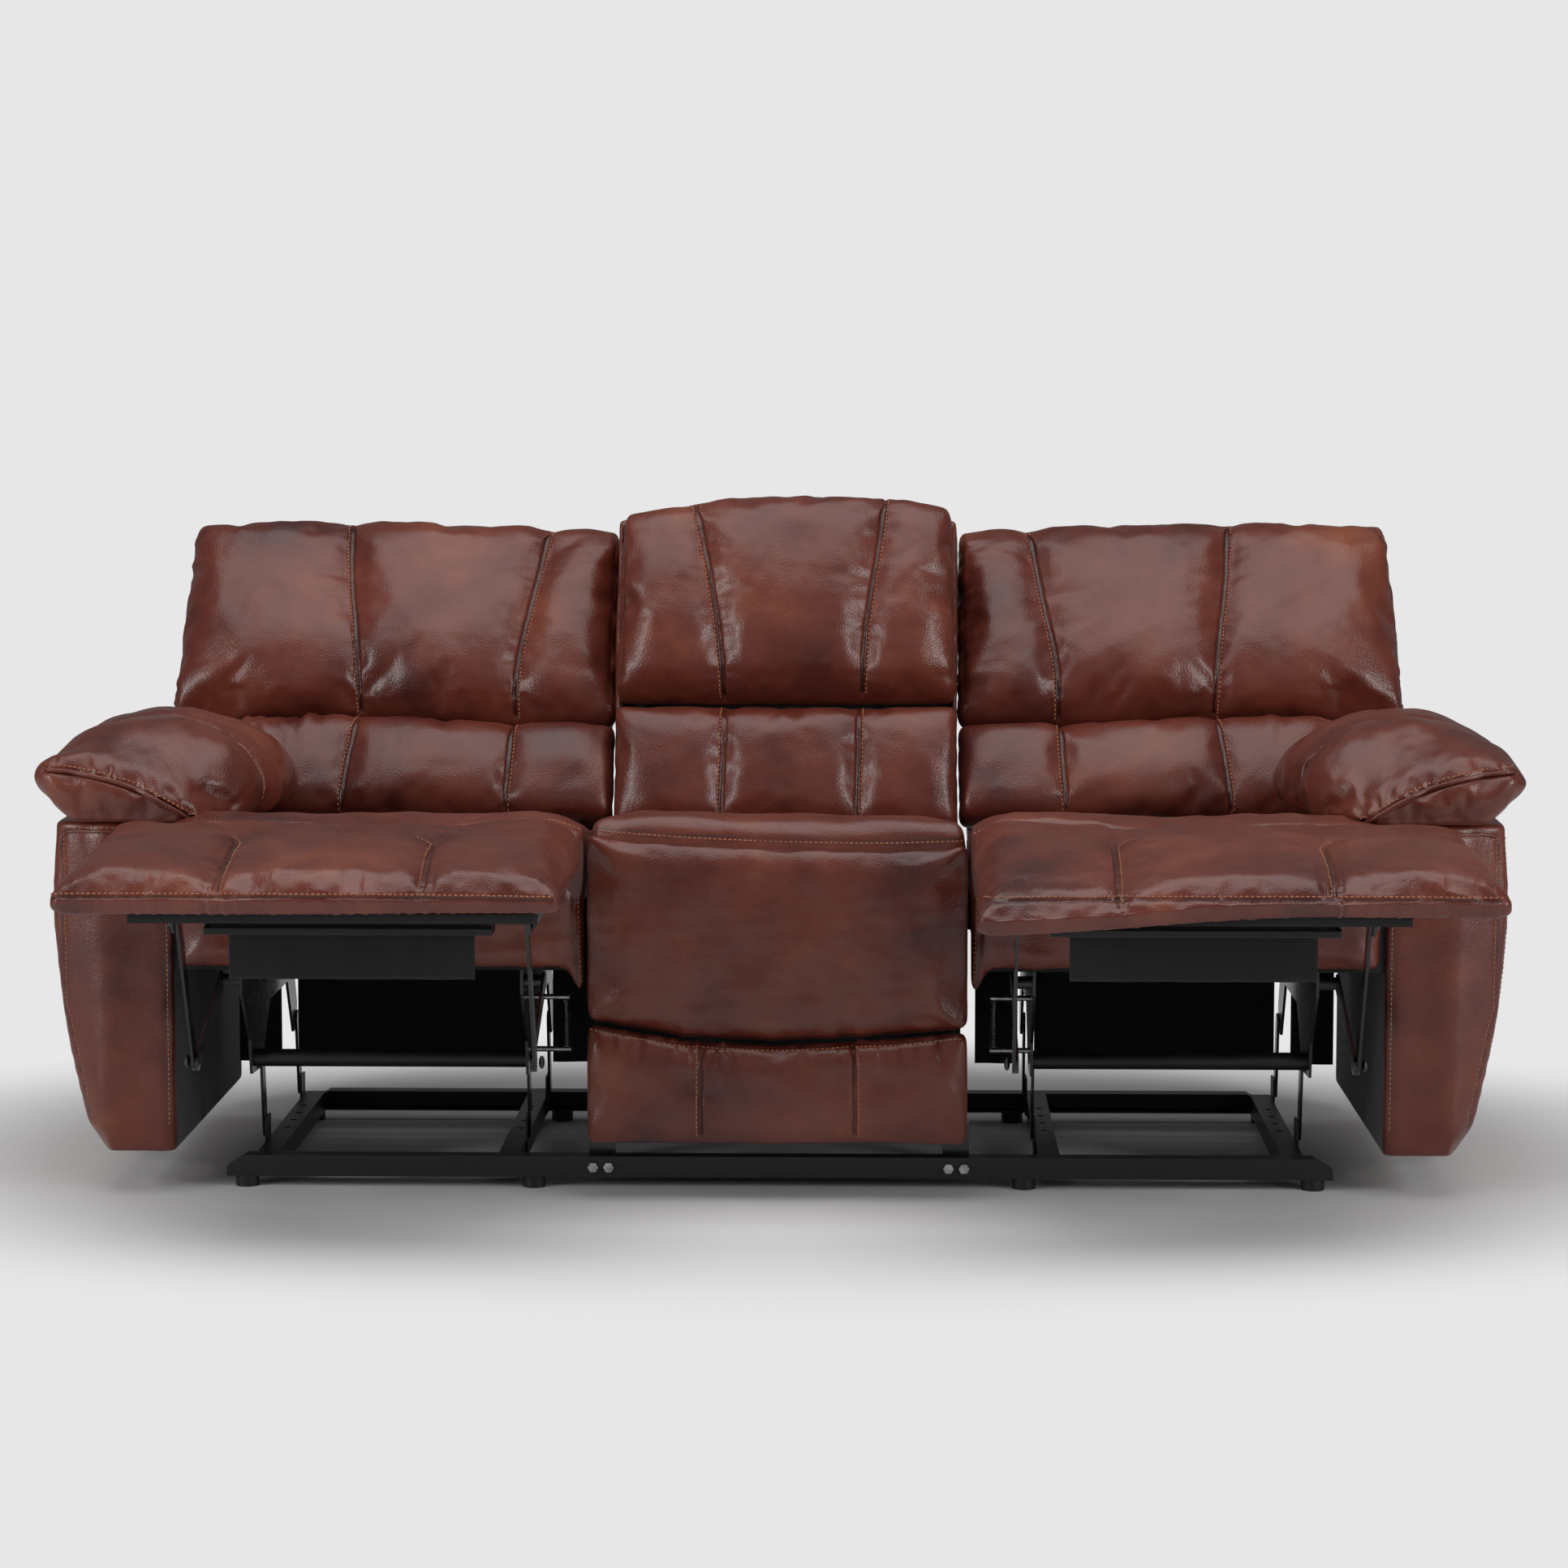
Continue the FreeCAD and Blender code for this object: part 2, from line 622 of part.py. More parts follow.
def footrest_links():
    """The links that fold the footrest: a parallelogram with the seam."""
    lower = link(size.seat_centre + LOWER_PLANE, ANCHOR, KNEE)
    lower = fuse(lower, filler(KNEE, LOWER_PLANE),
                 pin(LOWER_PLANE + size.link_steel, UPPER_PLANE + size.link_steel, KNEE))
    upper = link(size.seat_centre + UPPER_PLANE, KNEE, BRACKET, loose=0.3)
    return {"lower_links": pair(lower), "upper_links": pair(upper)}


def filler(place, plane):
    """The head of a pin that is riveted into its own link."""
    return pin(plane, plane + size.link_steel, place, "pin_radius + pin_clearance")


def rounded(x0, x1, y0, y1, z, radius):
    """A level outline with round corners."""
    corners = [(x0, y0), (x1, y0), (x1, y1), (x0, y1)]
    inward = radius * (1 - math.sqrt(0.5))
    edges = []
    signs = [(1, 1), (-1, 1), (-1, -1), (1, -1)]
    starts = []
    for index, ((x, y), (sx, sy)) in enumerate(zip(corners, signs)):
        on_x = Vector(x + sx * radius, y, z)
        on_y = Vector(x, y + sy * radius, z)
        middle = Vector(x + sx * inward, y + sy * inward, z)
        first, last = (on_y, on_x) if index % 2 == 0 else (on_x, on_y)
        starts.append((first, middle, last))
    for index, (first, middle, last) in enumerate(starts):
        edges.append(Part.Arc(first, middle, last).toShape())
        edges.append(Part.makeLine(last, starts[(index + 1) % 4][0]))
    return Part.Wire(edges)


def arm_face(height):
    """The place in X of the arm's outer face, which turns in below its knee."""
    knee = size.arm_outer - size.arm_knee_in
    if height > size.arm_knee:
        share = (size.arm_top - height) / (size.arm_top - size.arm_knee)
        return size.arm_outer - size.arm_knee_in * share
    share = (size.arm_knee - height) / (size.arm_knee - size.arm_bottom)
    return knee - (size.arm_taper - size.arm_knee_in) * share


def arm_block(inset, low, high, radius):
    """The arm's outer form, narrower at the floor, drawn in by inset."""
    wires = []
    for height in (low, size.arm_knee, high):
        wires.append(rounded(size.arm_inner + inset, arm_face(height) - inset,
                             size.arm_front + inset, size.arm_rear - inset, height, radius))
    return Part.makeLoft(wires, True, True)


def arm():
    """An arm: its boards, its hollow cover, the stuffed pad on top and the lever."""
    wall = size.arm_wall
    cover = arm_block(0, size.arm_bottom, size.arm_top, 16)
    hollow = arm_block(wall, size.arm_bottom - 1, size.arm_top - wall, 6)
    cover = cover.cut(hollow)
    face = arm_face(size.lever_height)
    length, width = size.lever_length, size.lever_width
    cup = Part.makeBox(36, width + 16, length + 46,
                       Vector(face - 36, size.lever_place - width / 2 - 8,
                              size.lever_height - length / 2 - 36))
    cup = cup.common(arm_block(0, size.arm_bottom, size.arm_top, 16))
    pocket = Part.makeBox(60, width + 4, length + 34,
                          Vector(face - 30, size.lever_place - width / 2 - 2,
                                 size.lever_height - length / 2 - 30))
    axle = Vector(face - 16, size.lever_place - width / 2 - 5,
                  size.lever_height + length / 2 - 10)
    bore = Part.makeCylinder(4.1, width + 10, axle, Vector(0, 1, 0))
    cover = cover.fuse(cup).cut(pocket).cut(bore)
    paddle = Part.makeBox(9, width, length,
                          Vector(face - 20.5, size.lever_place - width / 2,
                                 size.lever_height - length / 2))
    paddle = paddle.fuse(Part.makeCylinder(4, width + 9, axle + Vector(0, 0.5, 0),
                                           Vector(0, 1, 0)))
    board = size.arm_board
    inner = ("arm_inner + arm_wall", "arm_inner + arm_wall + arm_board")
    boards = [
        box(*inner, "arm_front + arm_wall + 6", "arm_rear - arm_wall - 6", "arm_bottom + 12",
            "arm_top - arm_wall - arm_board"),
        box(inner[0], "arm_outer - arm_wall - 8", "arm_front + arm_wall + 6",
            "arm_rear - arm_wall - 6", "arm_top - arm_wall - arm_board", "arm_top - arm_wall"),
        box(inner[1], "arm_outer - arm_taper - arm_wall - 8", "arm_front + arm_wall",
            "arm_front + arm_wall + arm_board", "arm_bottom + 12",
            "arm_top - arm_wall - arm_board"),
        box(inner[1], "arm_outer - arm_taper - arm_wall - 8",
            "arm_rear - arm_wall - arm_board", "arm_rear - arm_wall", "arm_bottom + 12",
            "arm_top - arm_wall - arm_board"),
    ]
    pad = cushion((size.arm_pad_inner, size.arm_pad_outer),
                  (size.arm_pad_front, size.arm_pad_rear),
                  (size.arm_top, size.arm_pad_top), 22, drawn_in=16)
    return {
        "arm_frame": boards,
        "arm_cover": [feature(cover)],
        "arm_pad": [feature(pad)],
        "release_lever": [feature(paddle)],
    }


BACK_REAR = "back_face - back_thick"


def back_tray(left, right, low, high, wall):
    """The block that the outside cover of a back fills, or its hollow inside a wall."""
    top = f"{high} - 10" if wall else high
    reach = "28 + 20" if wall else "28"
    return box(f"{left} + {wall}", f"{right} - {wall}", f"{low} + {wall}", top,
               f"{BACK_REAR} + {min(wall, 10)}", reach)


def end_back():
    """The leaning back of an end seat, drawn lying flat about its hinge."""
    post_in = "seat_centre + frame_half_width - 10 - post_width"
    post_out = "seat_centre + frame_half_width - 10"
    thin = ("-28", "28")
    wing = size.back_outer - 17
    post = box(post_in, post_out, "-28", "back_top - 18", *thin)
    bore = rod("hinge_pin_radius + pin_clearance", "seat_centre", "back_outer", "0", "0")
    posts = pair(cut(post, bore))
    low_rail = box(f"2 * seat_centre - ({post_in})", post_in, "5", "30", "-28", "0")
    mid_rail = box(f"2 * seat_centre - ({post_in})", post_in, "235", "260", "-28", "0")
    top_rail = box(f"2 * seat_centre - ({post_in})", post_in, "back_top - 43",
                   "back_top - 18", "-28", "0")
    wing_low = box(post_out, f"{wing}", "235", "260", "-28", "0")
    wing_top = box(post_out, f"{wing}", "back_top - 43", "back_top - 18", "-28", "0")
    wing_post = box(f"{wing} - 20", f"{wing}", "260", "back_top - 43", "-28", "0")
    upper = cushion((size.back_inner, size.back_outer),
                    (size.back_crease + 2, size.back_top), (28.3, size.back_face),
                    30, (395, 672), swell=8)
    lower = cushion((size.back_inner + 2, size.back_between_arms),
                    (size.back_bottom, size.back_crease - 2), (28.3, size.back_face),
                    30, (418, 658), swell=6)
    ear_clear = "45"
    outside = cut(
        fuse(back_tray("back_inner + 4", "back_between_arms", ear_clear, "back_crease + 5", 0),
             back_tray("back_inner + 4", "back_outer - 4", "back_crease", "back_top - 8", 0)),
        back_tray("back_inner + 4", "back_between_arms", "0", "back_crease + 40", 12),
        back_tray("back_inner + 4", "back_outer - 4", "back_crease", "back_top - 8", 12))
    skirt = box("back_inner + 18", "back_between_arms - 14", "-20", ear_clear,
                BACK_REAR, f"{BACK_REAR} + 10")
    outside = fuse(outside, skirt)
    place = leaning(size.hinge_back, size.hinge_height, size.back_tilt)
    return {
        "back_frame": ([*posts, low_rail, mid_rail, top_rail, wing_low, wing_top,
                        wing_post], place),
        "back_upper_cushion": ([feature(upper)], place),
        "back_lower_cushion": ([feature(lower)], place),
        "back_outside": ([outside], place),
    }


def centre_seat():
    """The fixed middle seat, bolted to both cross rails."""
    half = "centre_frame_half"
    front, rear = "centre_frame_front", "centre_frame_back"
    low, high = "centre_bottom", "frame_top"
    inner = f"{half} - board"
    boards = [
        box(f"-({half})", half, front, f"{front} + board", low, high),
        box(f"-({inner})", inner, f"{rear} - board", rear, low, high),
        box(f"-({inner})", inner, "-base_depth / 2 + rail_depth",
            "-base_depth / 2 + rail_depth + board", low, f"{low} + 60"),
        box("-205", "205", "105", "105 + board", f"{high} - 60", high),
    ]
    side = box(inner, half, f"{front} + board", rear, low, high)
    node("centre_frame", *boards, side, mirror(side))
    brackets = []
    for face, depth in (("-base_depth / 2 + rail_depth", 1),
                        ("base_depth / 2 - rail_depth", -1)):
        ends = sorted((f"{face}", f"{face} + {4 * depth}"), key=value)
        foot = sorted((f"{face}", f"{face} + {40 * depth}"), key=value)
        brackets.append(fuse(
            box("bolt_place - 19", "bolt_place + 19", *ends, "rail_top - rail_height + 3",
                "centre_bottom"),
            box("bolt_place - 19", "bolt_place + 19", *foot, "centre_bottom - 4",
                "centre_bottom")))
    node("centre_brackets", *brackets, *[mirror(bracket) for bracket in brackets])
    node("centre_springs", *seat_springs(0, size.centre_frame_front + 12, 118))
    across = (-size.centre_half_width, size.centre_half_width)
    low_z = size.frame_top + 2 * size.wire_radius + 0.4
    node("centre_cushion", feature(cushion(
        across, (size.centre_panel_front + 8, size.seat_rear),
        (low_z, size.seat_top), size.seat_crown, fall=size.seat_fall)))
    stand = Placement(Vector(0, size.centre_frame_front - 0.3, 0),
                      Rotation(Vector(1, 0, 0), 90))
    thick = size.centre_frame_front - size.centre_panel_front
    upper = cushion(across, (size.centre_seam + 1, low_z - 2), (0, thick - 10), 10,
                    swell=2, drawn_in=6)
    lower = cushion(across, (size.centre_bottom - 6, size.centre_seam - 1),
                    (0, thick - 12), 6, (-110, 110), swell=2, drawn_in=6)
    node("centre_front_panel", feature(upper), feature(lower), place=stand)


def centre_back():
    """The fixed middle back, drawn lying flat about the line of the hinges."""
    place = leaning(size.hinge_back, size.hinge_height, size.centre_tilt)
    post = box("centre_frame_half - board - post_width", "centre_frame_half - board",
               "-150", "centre_back_top - 18", "-28", "28")
    reach = "centre_frame_half - board - post_width"
    rails = [box(f"-({reach})", reach, start, f"{start} + 25", "-28", "0")
             for start in ("5", "235", "centre_back_top - 43")]
    node("centre_back_frame", post, mirror(post), *rails, place=place)
    across = (-size.centre_half_width + 2, size.centre_half_width - 2)
    upper = cushion(across, (size.centre_crease + 2, size.centre_back_top),
                    (28.3, size.back_face), 32, (-128, 128), swell=8)
    lower = cushion(across, (size.back_bottom, size.centre_crease - 2),
                    (28.3, size.back_face), 30, (-96, 96), swell=6)
    node("centre_back_upper_cushion", feature(upper), place=place)
    node("centre_back_lower_cushion", feature(lower), place=place)
    ends = ("-centre_half_width + 4", "centre_half_width - 4")
    node("centre_back_outside",
         cut(back_tray(*ends, "8", "centre_back_top - 8", 0),
             back_tray(*ends, "-50", "centre_back_top - 8", 12)), place=place)


def end_seat():
    """Every sub-part of the right end seat by name, with its placement if it leans."""
    middle = size.seat_centre
    parts = {
        "side_plates": side_plates(),
        "cross_tubes": cross_tubes(),
        "return_spring": return_spring(),
        "seat_frame": seat_frame(),
        "seat_springs": seat_springs(middle, size.frame_front + 12, size.frame_rear - 12),
        "seat_cushion": seat_cushion(),
        "front_border": front_border(),
    }
    for group in (swing_links(), footrest(), footrest_links(), arm(), end_back()):
        parts.update(group)
    return parts


def end_seats():
    """The right end seat and its mirror image on the left."""
    for name, made in end_seat().items():
        solids, place = made if isinstance(made[0], (list, tuple)) else (made, None)
        node(f"right_{name}", *solids, place=place)
        copy = mirror(NODES[f"right_{name}"])
        copy.Label = f"left_{name}"
        NODES[f"left_{name}"] = copy


def check_model():
    """Stops if any object failed or any sub-part has no sound shape."""
    for made in doc.Objects:
        if "Invalid" in made.State or "Error" in made.State:
            raise SystemExit(f"{made.Label} failed: {made.State}")
    for label, made in NODES.items():
        if made.Shape.isNull() or not made.Shape.isValid():
            raise SystemExit(f"{label} has no valid shape")


def main():
    base_rails()
    base_side_rails()
    base_feet()
    base_bolts()
    centre_seat()
    centre_back()
    end_seats()
    doc.recompute()
    check_model()
    os.makedirs("parts", exist_ok=True)
    for label, made in NODES.items():
        made.Shape.exportStep(f"parts/{label}.step")
        print(label, len(made.Shape.Solids), "solids")


main()
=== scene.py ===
"""Looks of a three-seat reclining sofa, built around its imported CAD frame."""

import math

import bmesh
import bpy
import numpy as np
from bpy.props import FloatProperty, FloatVectorProperty, PointerProperty
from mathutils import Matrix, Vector
from mathutils.bvhtree import BVHTree


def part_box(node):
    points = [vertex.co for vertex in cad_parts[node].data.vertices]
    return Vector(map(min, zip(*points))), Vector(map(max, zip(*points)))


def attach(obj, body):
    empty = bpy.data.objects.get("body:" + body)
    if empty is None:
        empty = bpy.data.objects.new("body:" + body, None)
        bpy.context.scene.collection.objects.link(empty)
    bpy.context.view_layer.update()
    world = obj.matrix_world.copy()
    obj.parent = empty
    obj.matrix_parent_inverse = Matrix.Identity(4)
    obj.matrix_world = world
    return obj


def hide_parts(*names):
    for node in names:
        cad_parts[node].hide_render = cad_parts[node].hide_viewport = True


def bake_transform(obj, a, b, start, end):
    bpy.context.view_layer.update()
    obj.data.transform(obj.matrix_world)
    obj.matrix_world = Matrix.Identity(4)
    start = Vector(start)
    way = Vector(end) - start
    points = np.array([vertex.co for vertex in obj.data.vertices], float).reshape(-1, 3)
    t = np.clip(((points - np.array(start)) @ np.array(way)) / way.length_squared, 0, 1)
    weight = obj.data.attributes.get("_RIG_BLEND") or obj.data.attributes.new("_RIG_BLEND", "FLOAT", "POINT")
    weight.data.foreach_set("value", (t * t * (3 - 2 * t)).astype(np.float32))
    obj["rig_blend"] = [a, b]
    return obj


bl_info = {
    "name": "Reclining sofa",
    "version": (1, 0, 0),
    "blender": (4, 5, 0),
    "location": "3D View > Sidebar > Sofa",
    "description": "Builds the leather, padding and finishes of a reclining sofa",
    "category": "Add Mesh",
}

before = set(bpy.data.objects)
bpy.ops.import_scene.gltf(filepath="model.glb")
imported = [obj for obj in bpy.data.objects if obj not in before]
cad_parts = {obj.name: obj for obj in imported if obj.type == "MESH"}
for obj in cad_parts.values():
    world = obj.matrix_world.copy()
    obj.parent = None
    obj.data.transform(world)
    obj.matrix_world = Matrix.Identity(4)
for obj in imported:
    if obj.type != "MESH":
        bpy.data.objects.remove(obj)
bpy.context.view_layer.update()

MM = 0.001
SIDES = {"right": 1, "left": -1}
HINGE_Y, HINGE_Z = 184.0, 419.0
END_TILT, CENTRE_TILT = 32.0, 17.0
SEAM_Y, SEAM_Z = -420.0, 507.0
stitch_rows = {}
piping_rows = {}


# Colours and nodes
def linear(code):
    """The linear colour of an sRGB hex value."""
    channels = [int(code[i:i + 2], 16) / 255 for i in (1, 3, 5)]
    return [c / 12.92 if c <= 0.04045 else ((c + 0.055) / 1.055) ** 2.4 for c in channels]


def rgba(code):
    return (*linear(code), 1.0)


def add(tree, kind, links=None, **settings):
    """One node with its settings.  A link is input name: (node, output name)."""
    node = tree.nodes.new(kind)
    for key, value in settings.items():
        if key == "stops":
            ramp = node.color_ramp.elements
            while len(ramp) < len(value):
                ramp.new(0.5)
            for element, (place, colour) in zip(ramp, value):
                element.position, element.color = place, colour
        elif key == "values":
            for name, number in value.items():
                node.inputs[name].default_value = number
        else:
            setattr(node, key, value)
    for name, (source, output) in (links or {}).items():
        tree.links.new(source.outputs[output], node.inputs[name])
    return node


def start_material(name):
    material = bpy.data.materials.new(name)
    material.use_nodes = True
    tree = material.node_tree
    tree.nodes.clear()
    place = add(tree, "ShaderNodeTexCoord")
    return material, tree, place


def close_material(tree, values, links):
    shader = add(tree, "ShaderNodeBsdfPrincipled", links, values=values)
    add(tree, "ShaderNodeOutputMaterial", {"Surface": (shader, "BSDF")})


def noise(tree, place, scale, detail=3.0, rough=0.5):
    return add(tree, "ShaderNodeTexNoise", {"Vector": (place, "Object")},
               values={"Scale": scale, "Detail": detail, "Roughness": rough})


def leather(settings):
    """Corrected-grain cowhide: dyed in brushed patches, with painted shade darkening its
    seams and creases, and a glossy top coat over a fine pebble grain.  Pebbles of 1.6 mm
    are drawn at 2.2 mm, so that they show."""
    material, tree, place = start_material("chestnut_cowhide")
    patches = noise(tree, place, 4.2, 4.0, 0.55)
    clouds = noise(tree, place, 15.0, 5.0, 0.6)
    brushed = add(tree, "ShaderNodeMix", {"A": (patches, "Fac"), "B": (clouds, "Fac")},
                  data_type="FLOAT", values={"Factor": 0.34})
    base = list(settings.leather_colour)
    dark, light = rgba("#381817"), rgba("#86472c")
    mid = (*base, 1.0)
    tone = add(tree, "ShaderNodeValToRGB", {"Fac": (brushed, "Result")},
               stops=[(0.3, dark), (0.46, mid), (0.57, rgba("#6c3224")), (0.74, light)])
    # Painted shade: the colour goes dark along the sewn grooves and pucker creases, where shade falls.
    seam = add(tree, "ShaderNodeAttribute", attribute_name="seam")
    shade = add(tree, "ShaderNodeMix", {"Factor": (seam, "Fac"), "A": (tone, "Color")},
                data_type="RGBA", values={"B": rgba("#240e0b")})
    pebbles = add(tree, "ShaderNodeTexVoronoi", {"Vector": (place, "Object")},
                  feature="SMOOTH_F1", values={"Scale": 1000 / 2.2, "Smoothness": 0.6})
    crease_at = add(tree, "ShaderNodeAttribute", attribute_name="crease")
    stretch = add(tree, "ShaderNodeMapping", {"Vector": (place, "Object")},
                  values={"Scale": (240.0, 60.0, 60.0)})
    creases = add(tree, "ShaderNodeTexNoise", {"Vector": (stretch, "Vector")},
                  values={"Scale": 1.0, "Detail": 2.0})
    worked = add(tree, "ShaderNodeMath", {0: (creases, "Fac"), 1: (crease_at, "Fac")},
                 operation="MULTIPLY")
    grain = add(tree, "ShaderNodeMath", {0: (pebbles, "Distance"), 1: (worked, "Value")},
                operation="ADD")
    relief = add(tree, "ShaderNodeBump", {"Height": (grain, "Value")},
                 values={"Strength": 0.32, "Distance": 0.0012})
    polish = add(tree, "ShaderNodeMapRange", {"Value": (clouds, "Fac")},
                 values={"To Min": 0.25, "To Max": 0.38})
    close_material(tree, {"Coat Weight": 0.12, "Coat Roughness": 0.2, "IOR": 1.5,
                          "Sheen Weight": 0.02, "Sheen Roughness": 0.4},
                   {"Base Color": (shade, "Result"), "Roughness": (polish, "Result"),
                    "Normal": (relief, "Normal")})
    return material


def plain_finish(name, low, high, values, scale, relief_scale, relief, rough):
    """A finish with two close tones, a fine relief and an uneven roughness."""
    material, tree, place = start_material(name)
    clouds = noise(tree, place, scale, 4.0)
    tone = add(tree, "ShaderNodeValToRGB", {"Fac": (clouds, "Fac")},
               stops=[(0.35, rgba(low)), (0.65, rgba(high))])
    fine = noise(tree, place, relief_scale, 2.0)
    bump = add(tree, "ShaderNodeBump", {"Height": (fine, "Fac")},
               values={"Strength": relief, "Distance": 0.0006})
    uneven = add(tree, "ShaderNodeMapRange", {"Value": (clouds, "Fac")},
                 values={"To Min": rough[0], "To Max": rough[1]})
    close_material(tree, values, {"Base Color": (tone, "Color"),
                                  "Roughness": (uneven, "Result"),
                                  "Normal": (bump, "Normal")})
    return material


def timber():
    """Rough-sawn pine and plywood of the hidden boards: long fine grain across X."""
    material, tree, place = start_material("sawn_pine")
    stretch = add(tree, "ShaderNodeMapping", {"Vector": (place, "Object")},
                  values={"Scale": (6.0, 90.0, 90.0)})
    rings = add(tree, "ShaderNodeTexNoise", {"Vector": (stretch, "Vector")},
                values={"Scale": 1.0, "Detail": 5.0, "Distortion": 0.6})
    tone = add(tree, "ShaderNodeValToRGB", {"Fac": (rings, "Fac")},
               stops=[(0.35, rgba("#8f6f48")), (0.65, rgba("#c9a878"))])
    bump = add(tree, "ShaderNodeBump", {"Height": (rings, "Fac")},
               values={"Strength": 0.4, "Distance": 0.0008})
    close_material(tree, {"Roughness": 0.75},
                   {"Base Color": (tone, "Color"), "Normal": (bump, "Normal")})
    return material


def woven_black():
    """Spun-bond black lining cloth: a weave with 1 mm threads drawn at 2 mm."""
    material, tree, place = start_material("black_lining_cloth")
    wave_x = add(tree, "ShaderNodeTexWave", {"Vector": (place, "Object")},
                 bands_direction="X", values={"Scale": 80.0, "Distortion": 0.6})
    wave_z = add(tree, "ShaderNodeTexWave", {"Vector": (place, "Object")},
                 bands_direction="Z", values={"Scale": 80.0, "Distortion": 0.6})
    weave = add(tree, "ShaderNodeMath", {0: (wave_x, "Fac"), 1: (wave_z, "Fac")},
                operation="MULTIPLY")
    tone = add(tree, "ShaderNodeValToRGB", {"Fac": (weave, "Value")},
               stops=[(0.0, rgba("#0c0c0d")), (1.0, rgba("#1d1d1f"))])
    bump = add(tree, "ShaderNodeBump", {"Height": (weave, "Value")},
               values={"Strength": 0.3, "Distance": 0.0005})
    close_material(tree, {"Roughness": 0.85, "Sheen Weight": 0.2},
                   {"Base Color": (tone, "Color"), "Normal": (bump, "Normal")})
    return material


def materials():
    """Every finish of the sofa by its short name."""
    found = {m.get("sofa"): m for m in bpy.data.materials if m.get("sofa")}
    if found:
        return found
    settings = bpy.context.scene.sofa
    made = {
        "leather": leather(settings),
        # Waxed polyester thread: a lighter orange-brown than the hide, slightly glossy.
        "thread": plain_finish("waxed_thread", "#94563c", "#bb7d5b", {}, 900.0, 4000.0,
                               0.5, (0.45, 0.6)),
        # Powder-coated mild steel: deep black with a soft gloss and orange-peel relief.
        "steel": plain_finish("black_powder_coat", "#060607", "#0d0d0e",
                              {"Coat Weight": 0.15, "Coat Roughness": 0.3}, 30.0, 900.0,
                              0.25, (0.4, 0.52)),
        # Semi-gloss black paint of the link plates.
        "links": plain_finish("black_stoved_enamel", "#09090a", "#131314",
                              {"Coat Weight": 0.5, "Coat Roughness": 0.12}, 60.0, 500.0,
                              0.3, (0.22, 0.36)),
        # Bright zinc plate on the springs and pins.
        "zinc": plain_finish("zinc_plated_steel", "#9a9da1", "#cdd0d3",
                             {"Metallic": 1.0}, 80.0, 1500.0, 0.2, (0.22, 0.4)),
        # Oil-tempered spring wire of the seats, dark and a little rusty.
        "wire": plain_finish("tempered_spring_wire", "#2b2725", "#4a403a",
                             {"Metallic": 0.8}, 40.0, 900.0, 0.3, (0.4, 0.6)),
        # Injection-moulded polypropylene of the feet and the lever.
        "plastic": plain_finish("black_polypropylene", "#0d0d0e", "#171718", {}, 120.0,
                                1800.0, 0.35, (0.4, 0.52)),
        "timber": timber(),
        "cloth": woven_black(),
    }
    for key, material in made.items():
        material["sofa"] = key
    return made


# Mesh helpers
def spaced(marks, step, fine=(2.5, 5.5, 10.0)):
    """Grid lines between the marks, closer beside each inner mark."""
    lines = set()
    for k, (low, high) in enumerate(zip(marks, marks[1:])):
        near = fine if k else ()
        beyond = fine if k < len(marks) - 2 else ()
        start = low + (near[-1] if near else 0)
        end = high - (beyond[-1] if beyond else 0)
        count = max(1, round((end - start) / step))
        lines.update(np.round(np.linspace(start, end, count + 1), 3))
        lines.update(round(low + f, 3) for f in near)
        lines.update(round(high - f, 3) for f in beyond)
        lines.update((round(float(low), 3), round(float(high), 3)))
    return np.array(sorted(lines))


def soft_box(lines, radius):
    """The skin of a box with rounded edges, divided at the given lines.

    Gives its points, each point's share of the way across, and its faces."""
    index, where, faces = {}, [], []
    for axis in range(3):
        u, w = (axis + 1) % 3, (axis + 2) % 3
        for side in (0, len(lines[axis]) - 1):
            for i in range(len(lines[u]) - 1):
                for j in range(len(lines[w]) - 1):
                    cell = []
                    for di, dj in ((0, 0), (1, 0), (1, 1), (0, 1)):
                        key = [0, 0, 0]
                        key[axis], key[u], key[w] = side, i + di, j + dj
                        key = tuple(key)
                        if key not in index:
                            index[key] = len(where)
                            where.append(key)
                        cell.append(index[key])
                    faces.append(cell if side else cell[::-1])
    where = np.array(where)
    box = np.stack([np.asarray(lines[k], float)[where[:, k]] for k in range(3)], 1)
    low = np.array([line[0] for line in lines], float)
    high = np.array([line[-1] for line in lines], float)
    half, centre = (high - low) / 2, (high + low) / 2
    radius = np.minimum(np.broadcast_to(np.asarray(radius, float), 3), half)
    local = box - centre
    inner = np.clip(local, radius - half, half - radius)
    away = (local - inner) / radius
    away /= np.maximum(np.linalg.norm(away, axis=1), 1e-9)[:, None]
    points = centre + inner + away * radius
    return points, (points - low) / (high - low), faces


def make_piece(name, points, faces, sign=1, material="leather"):
    """A mesh piece from points in mm, mirrored in X where sign is -1."""
    points = np.array(points, float) * MM
    if sign < 0:
        points[:, 0] *= -1
        faces = [face[::-1] for face in faces]
    mesh = bpy.data.meshes.new(name)
    mesh.from_pydata(points.tolist(), [], [list(map(int, f)) for f in faces])
    mesh.validate()
    mesh.shade_smooth()
    piece = bpy.data.objects.new(name, mesh)
    bpy.context.scene.collection.objects.link(piece)
    mesh.materials.append(materials()[material])
    return piece


def places(piece):
    found = np.empty(len(piece.data.vertices) * 3)
    piece.data.vertices.foreach_get("co", found)
    return found.reshape(-1, 3)


def set_places(piece, points):
    piece.data.vertices.foreach_set("co", np.asarray(points, float).ravel())
    piece.data.update()


def normals(piece):
    found = np.empty(len(piece.data.vertices) * 3)
    piece.data.vertex_normals.foreach_get("vector", found)
    return found.reshape(-1, 3)


def only(piece):
    bpy.ops.object.select_all(action="DESELECT")
    piece.select_set(True)
    bpy.context.view_layer.objects.active = piece


